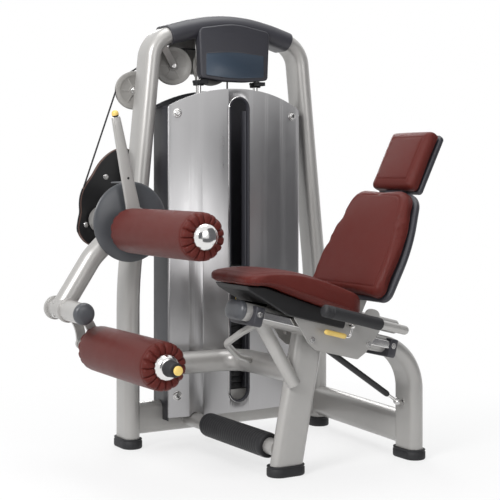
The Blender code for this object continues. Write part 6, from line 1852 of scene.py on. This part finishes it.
def build_stage():
    """The white floor and world, the dark flags that steel mirrors, the lamps and the camera."""
    bm = bmesh.new()
    rings = [[(radius * math.cos(math.tau * k / 96), radius * math.sin(math.tau * k / 96), -0.0005)
              for k in range(96)] for radius in (0.5, 1, 2, 3.5, 6, 10, 18, 30)]
    skin(bm, rings, caps=False)
    middle = [bm.verts.new(p) for p in rings[0]]
    bm.faces.new(middle)
    floor = solid("floor", bm)
    material = bpy.data.materials.new("floor_white")
    material.use_nodes = True
    tree = material.node_tree
    shader = tree.nodes["Principled BSDF"]
    shader.inputs["Base Color"].default_value = (0.92, 0.92, 0.92, 1)
    shader.inputs["Roughness"].default_value = 0.9
    shader.inputs["Specular IOR Level"].default_value = 0.1
    glow = node(tree, "ShaderNodeEmission", Strength=1.0)
    path = tree.nodes.new("ShaderNodeLightPath")
    far = node(tree, "ShaderNodeVectorMath", operation="LENGTH")
    tree.links.new(object_point(tree), far.inputs[0])
    fade = node(tree, "ShaderNodeMapRange")
    fade.inputs["From Min"].default_value = 0.5
    fade.inputs["From Max"].default_value = 1.7
    fade.inputs["To Min"].default_value = 0.72
    tree.links.new(far.outputs["Value"], fade.inputs["Value"])
    seen = maths(tree, "MAXIMUM", path.outputs["Is Camera Ray"], path.outputs["Is Glossy Ray"])
    mix = tree.nodes.new("ShaderNodeMixShader")
    tree.links.new(maths(tree, "MULTIPLY", seen, fade.outputs["Result"]), mix.inputs["Fac"])
    tree.links.new(shader.outputs["BSDF"], mix.inputs[1])
    tree.links.new(glow.outputs["Emission"], mix.inputs[2])
    tree.links.new(mix.outputs["Shader"], tree.nodes["Material Output"].inputs["Surface"])
    floor.data.materials.append(material)

    world = bpy.data.worlds.new("studio")
    world.use_nodes = True
    bpy.context.scene.world = world
    tree = world.node_tree
    soft = tree.nodes["Background"]
    soft.inputs["Color"].default_value = (0.97, 0.98, 1.0, 1)
    soft.inputs["Strength"].default_value = 0.34
    white = node(tree, "ShaderNodeBackground")
    white.inputs["Color"].default_value = (1, 1, 1, 1)
    white.inputs["Strength"].default_value = 1.0
    path = tree.nodes.new("ShaderNodeLightPath")
    seen = maths(tree, "MAXIMUM", path.outputs["Is Camera Ray"], path.outputs["Is Glossy Ray"])
    seen = maths(tree, "MAXIMUM", seen, path.outputs["Is Transmission Ray"])
    mix = tree.nodes.new("ShaderNodeMixShader")
    tree.links.new(seen, mix.inputs["Fac"])
    tree.links.new(soft.outputs["Background"], mix.inputs[1])
    tree.links.new(white.outputs["Background"], mix.inputs[2])
    tree.links.new(mix.outputs["Shader"], tree.nodes["World Output"].inputs["Surface"])

    bm = bmesh.new()
    for middle, way, half, low, high in (
        (Vector((2.345, -1.855)), Vector((0.787, 0.617)), 1.77, 0.02, 3.4),
        (Vector((0.45, -1.90)), Vector((1.0, 0.0)), 1.05, 0.01, 0.60),
        (Vector((-2.35, -4.0)), Vector((0.857, -0.515)), 1.35, 0.02, 3.2),
    ):
        ends = (middle - way * half, middle + way * half)
        corners = [(ends[0].x, ends[0].y, low), (ends[1].x, ends[1].y, low),
                   (ends[1].x, ends[1].y, high), (ends[0].x, ends[0].y, high)]
        bm.faces.new([bm.verts.new(c) for c in corners])
    flag = solid("dark_flag", bm)
    black = bpy.data.materials.new("flag_black")
    black.use_nodes = True
    inputs = black.node_tree.nodes["Principled BSDF"].inputs
    inputs["Base Color"].default_value = (0.03, 0.03, 0.032, 1)
    inputs["Emission Color"].default_value = (0.10, 0.10, 0.105, 1)
    inputs["Emission Strength"].default_value = 1.0
    inputs["Roughness"].default_value = 0.9
    flag.data.materials.append(black)
    flag.visible_camera = False
    flag.visible_diffuse = False
    flag.visible_shadow = False

    target = Vector((0, 0, 0.7))
    for name, place, size, energy in (
        ("key", (-3.2, -1.6, 2.9), 1.6, 118), ("fill", (0.1, -3.9, 1.8), 1.8, 20),
        ("top", (0.2, 0.2, 3.6), 2.4, 45), ("rim", (1.5, 3.2, 2.4), 1.6, 35),
    ):
        lamp = bpy.data.lights.new(name, "AREA")
        lamp.shape = "DISK"
        lamp.size = size
        lamp.energy = energy
        obj = bpy.data.objects.new(name, lamp)
        obj.location = place
        obj.rotation_euler = (target - Vector(place)).to_track_quat("-Z", "Y").to_euler()
        bpy.context.scene.collection.objects.link(obj)

    eye = bpy.data.cameras.new("photo_camera")
    eye.lens = 90.36
    eye.sensor_width = 36
    eye.shift_y = -0.15
    camera = bpy.data.objects.new("photo_camera", eye)
    camera.location = (-2.1025, -3.5357, 0.932)
    camera.rotation_euler = (math.radians(90), 0, math.radians(-31))
    bpy.context.scene.collection.objects.link(camera)
    bpy.context.scene.camera = camera
    bpy.context.scene.view_settings.view_transform = "Standard"


# ---------------------------------------------------------------- operators and panel

class CurlStep(bpy.types.Operator):
    """Shared settings of the build steps."""

    bl_idname = "curl.step"
    bl_label = "Step"
    bl_options = {"REGISTER"}

    def execute(self, context):
        self.work(context.scene.curl_colours, context.scene.curl_sizes)
        return {"FINISHED"}

    def work(self, colours, sizes):
        """Does nothing itself: each step has its own."""


class CurlFinishes(CurlStep):
    """Makes the finishes and puts them on the CAD nodes."""

    bl_idname = "curl.finishes"
    bl_label = "Finishes"

    def work(self, colours, sizes):
        build_finishes(colours)
        finish_nodes()


class CurlFrame(CurlStep):
    """Builds the frame's tubes, weld beads, feet and step."""

    bl_idname = "curl.frame"
    bl_label = "Frame tubes and feet"

    def work(self, colours, sizes):
        build_frame(sizes)


class CurlTower(CurlStep):
    """Builds the brushed shroud, the slot's bezel and the dark cover."""

    bl_idname = "curl.tower"
    bl_label = "Tower covers"

    def work(self, colours, sizes):
        build_tower()


class CurlStack(CurlStep):
    """Builds the weight plates, the pin and the guide bars."""

    bl_idname = "curl.stack"
    bl_label = "Weight stack"

    def work(self, colours, sizes):
        build_stack()


class CurlHead(CurlStep):
    """Builds the moulded head cover with its bare placard."""

    bl_idname = "curl.head"
    bl_label = "Head cover"

    def work(self, colours, sizes):
        build_head()


class CurlCable(CurlStep):
    """Builds the pulleys, their brackets and the lift cable."""

    bl_idname = "curl.cable"
    bl_label = "Pulleys and cable"

    def work(self, colours, sizes):
        build_cable()


class CurlKnee(CurlStep):
    """Builds the knee housing, the cam and the dome."""

    bl_idname = "curl.knee"
    bl_label = "Knee axis"

    def work(self, colours, sizes):
        build_knee()


class CurlArm(CurlStep):
    """Builds the curl arm and the shin yoke."""

    bl_idname = "curl.arm"
    bl_label = "Curl arm"

    def work(self, colours, sizes):
        build_arm()


class CurlLever(CurlStep):
    """Builds the hold-down lever and its axle cap."""

    bl_idname = "curl.lever"
    bl_label = "Hold-down lever"

    def work(self, colours, sizes):
        build_lever()


class CurlRollers(CurlStep):
    """Builds both leather rollers with their pleated ends."""

    bl_idname = "curl.rollers"
    bl_label = "Rollers"

    def work(self, colours, sizes):
        roller("shin_cushion", SHIN, SHIN_ENDS, sizes.pleats, "shin_pad", "shin_roller")
        roller("thigh_cushion", THIGH, THIGH_ENDS, sizes.pleats, "thigh_pad", "thigh_roller")


class CurlCushions(CurlStep):
    """Blows up and sews the seat, back and head cushions."""

    bl_idname = "curl.cushions"
    bl_label = "Cushions"

    def work(self, colours, sizes):
        build_cushions(sizes)


class CurlSeat(CurlStep):
    """Builds the shells, handles, lock, gas strut and rail yokes."""

    bl_idname = "curl.seat"
    bl_label = "Seat hardware"

    def work(self, colours, sizes):
        build_shell()
        build_handles()
        build_lock()
        build_strut()
        build_rails()


class CurlStage(CurlStep):
    """Sets the floor, the lights and the photograph's camera."""

    bl_idname = "curl.stage"
    bl_label = "Stage"

    def work(self, colours, sizes):
        build_stage()


STEPS = (CurlFinishes, CurlFrame, CurlTower, CurlStack, CurlHead, CurlCable, CurlKnee, CurlArm, CurlLever,
         CurlRollers, CurlCushions, CurlSeat, CurlStage)


class CurlPanel(bpy.types.Panel):
    """Lists the build steps, sizes and colours."""

    bl_idname = "VIEW3D_PT_leg_curl"
    bl_label = "Leg curl machine"
    bl_space_type = "VIEW_3D"
    bl_region_type = "UI"
    bl_category = "Leg curl"

    def draw(self, context):
        for step in STEPS:
            self.layout.operator(step.bl_idname)
        for settings in (context.scene.curl_sizes, context.scene.curl_colours):
            for key in settings.__annotations__:
                self.layout.prop(settings, key)


CLASSES = (CurlColours, CurlSizes, *STEPS, CurlPanel)


def register():
    for made in CLASSES:
        bpy.utils.register_class(made)
    bpy.types.Scene.curl_colours = PointerProperty(type=CurlColours)
    bpy.types.Scene.curl_sizes = PointerProperty(type=CurlSizes)


def unregister():
    del bpy.types.Scene.curl_sizes
    del bpy.types.Scene.curl_colours
    for made in reversed(CLASSES):
        bpy.utils.unregister_class(made)


def clear_startup():
    for name in ("Cube", "Light", "Camera"):
        if name in bpy.data.objects:
            bpy.data.objects.remove(bpy.data.objects[name])


def main():
    register()
    clear_startup()
    for step in STEPS:
        group_name, name = step.bl_idname.split(".")
        getattr(getattr(bpy.ops, group_name), name)()


if __name__ == "__main__":
    main()
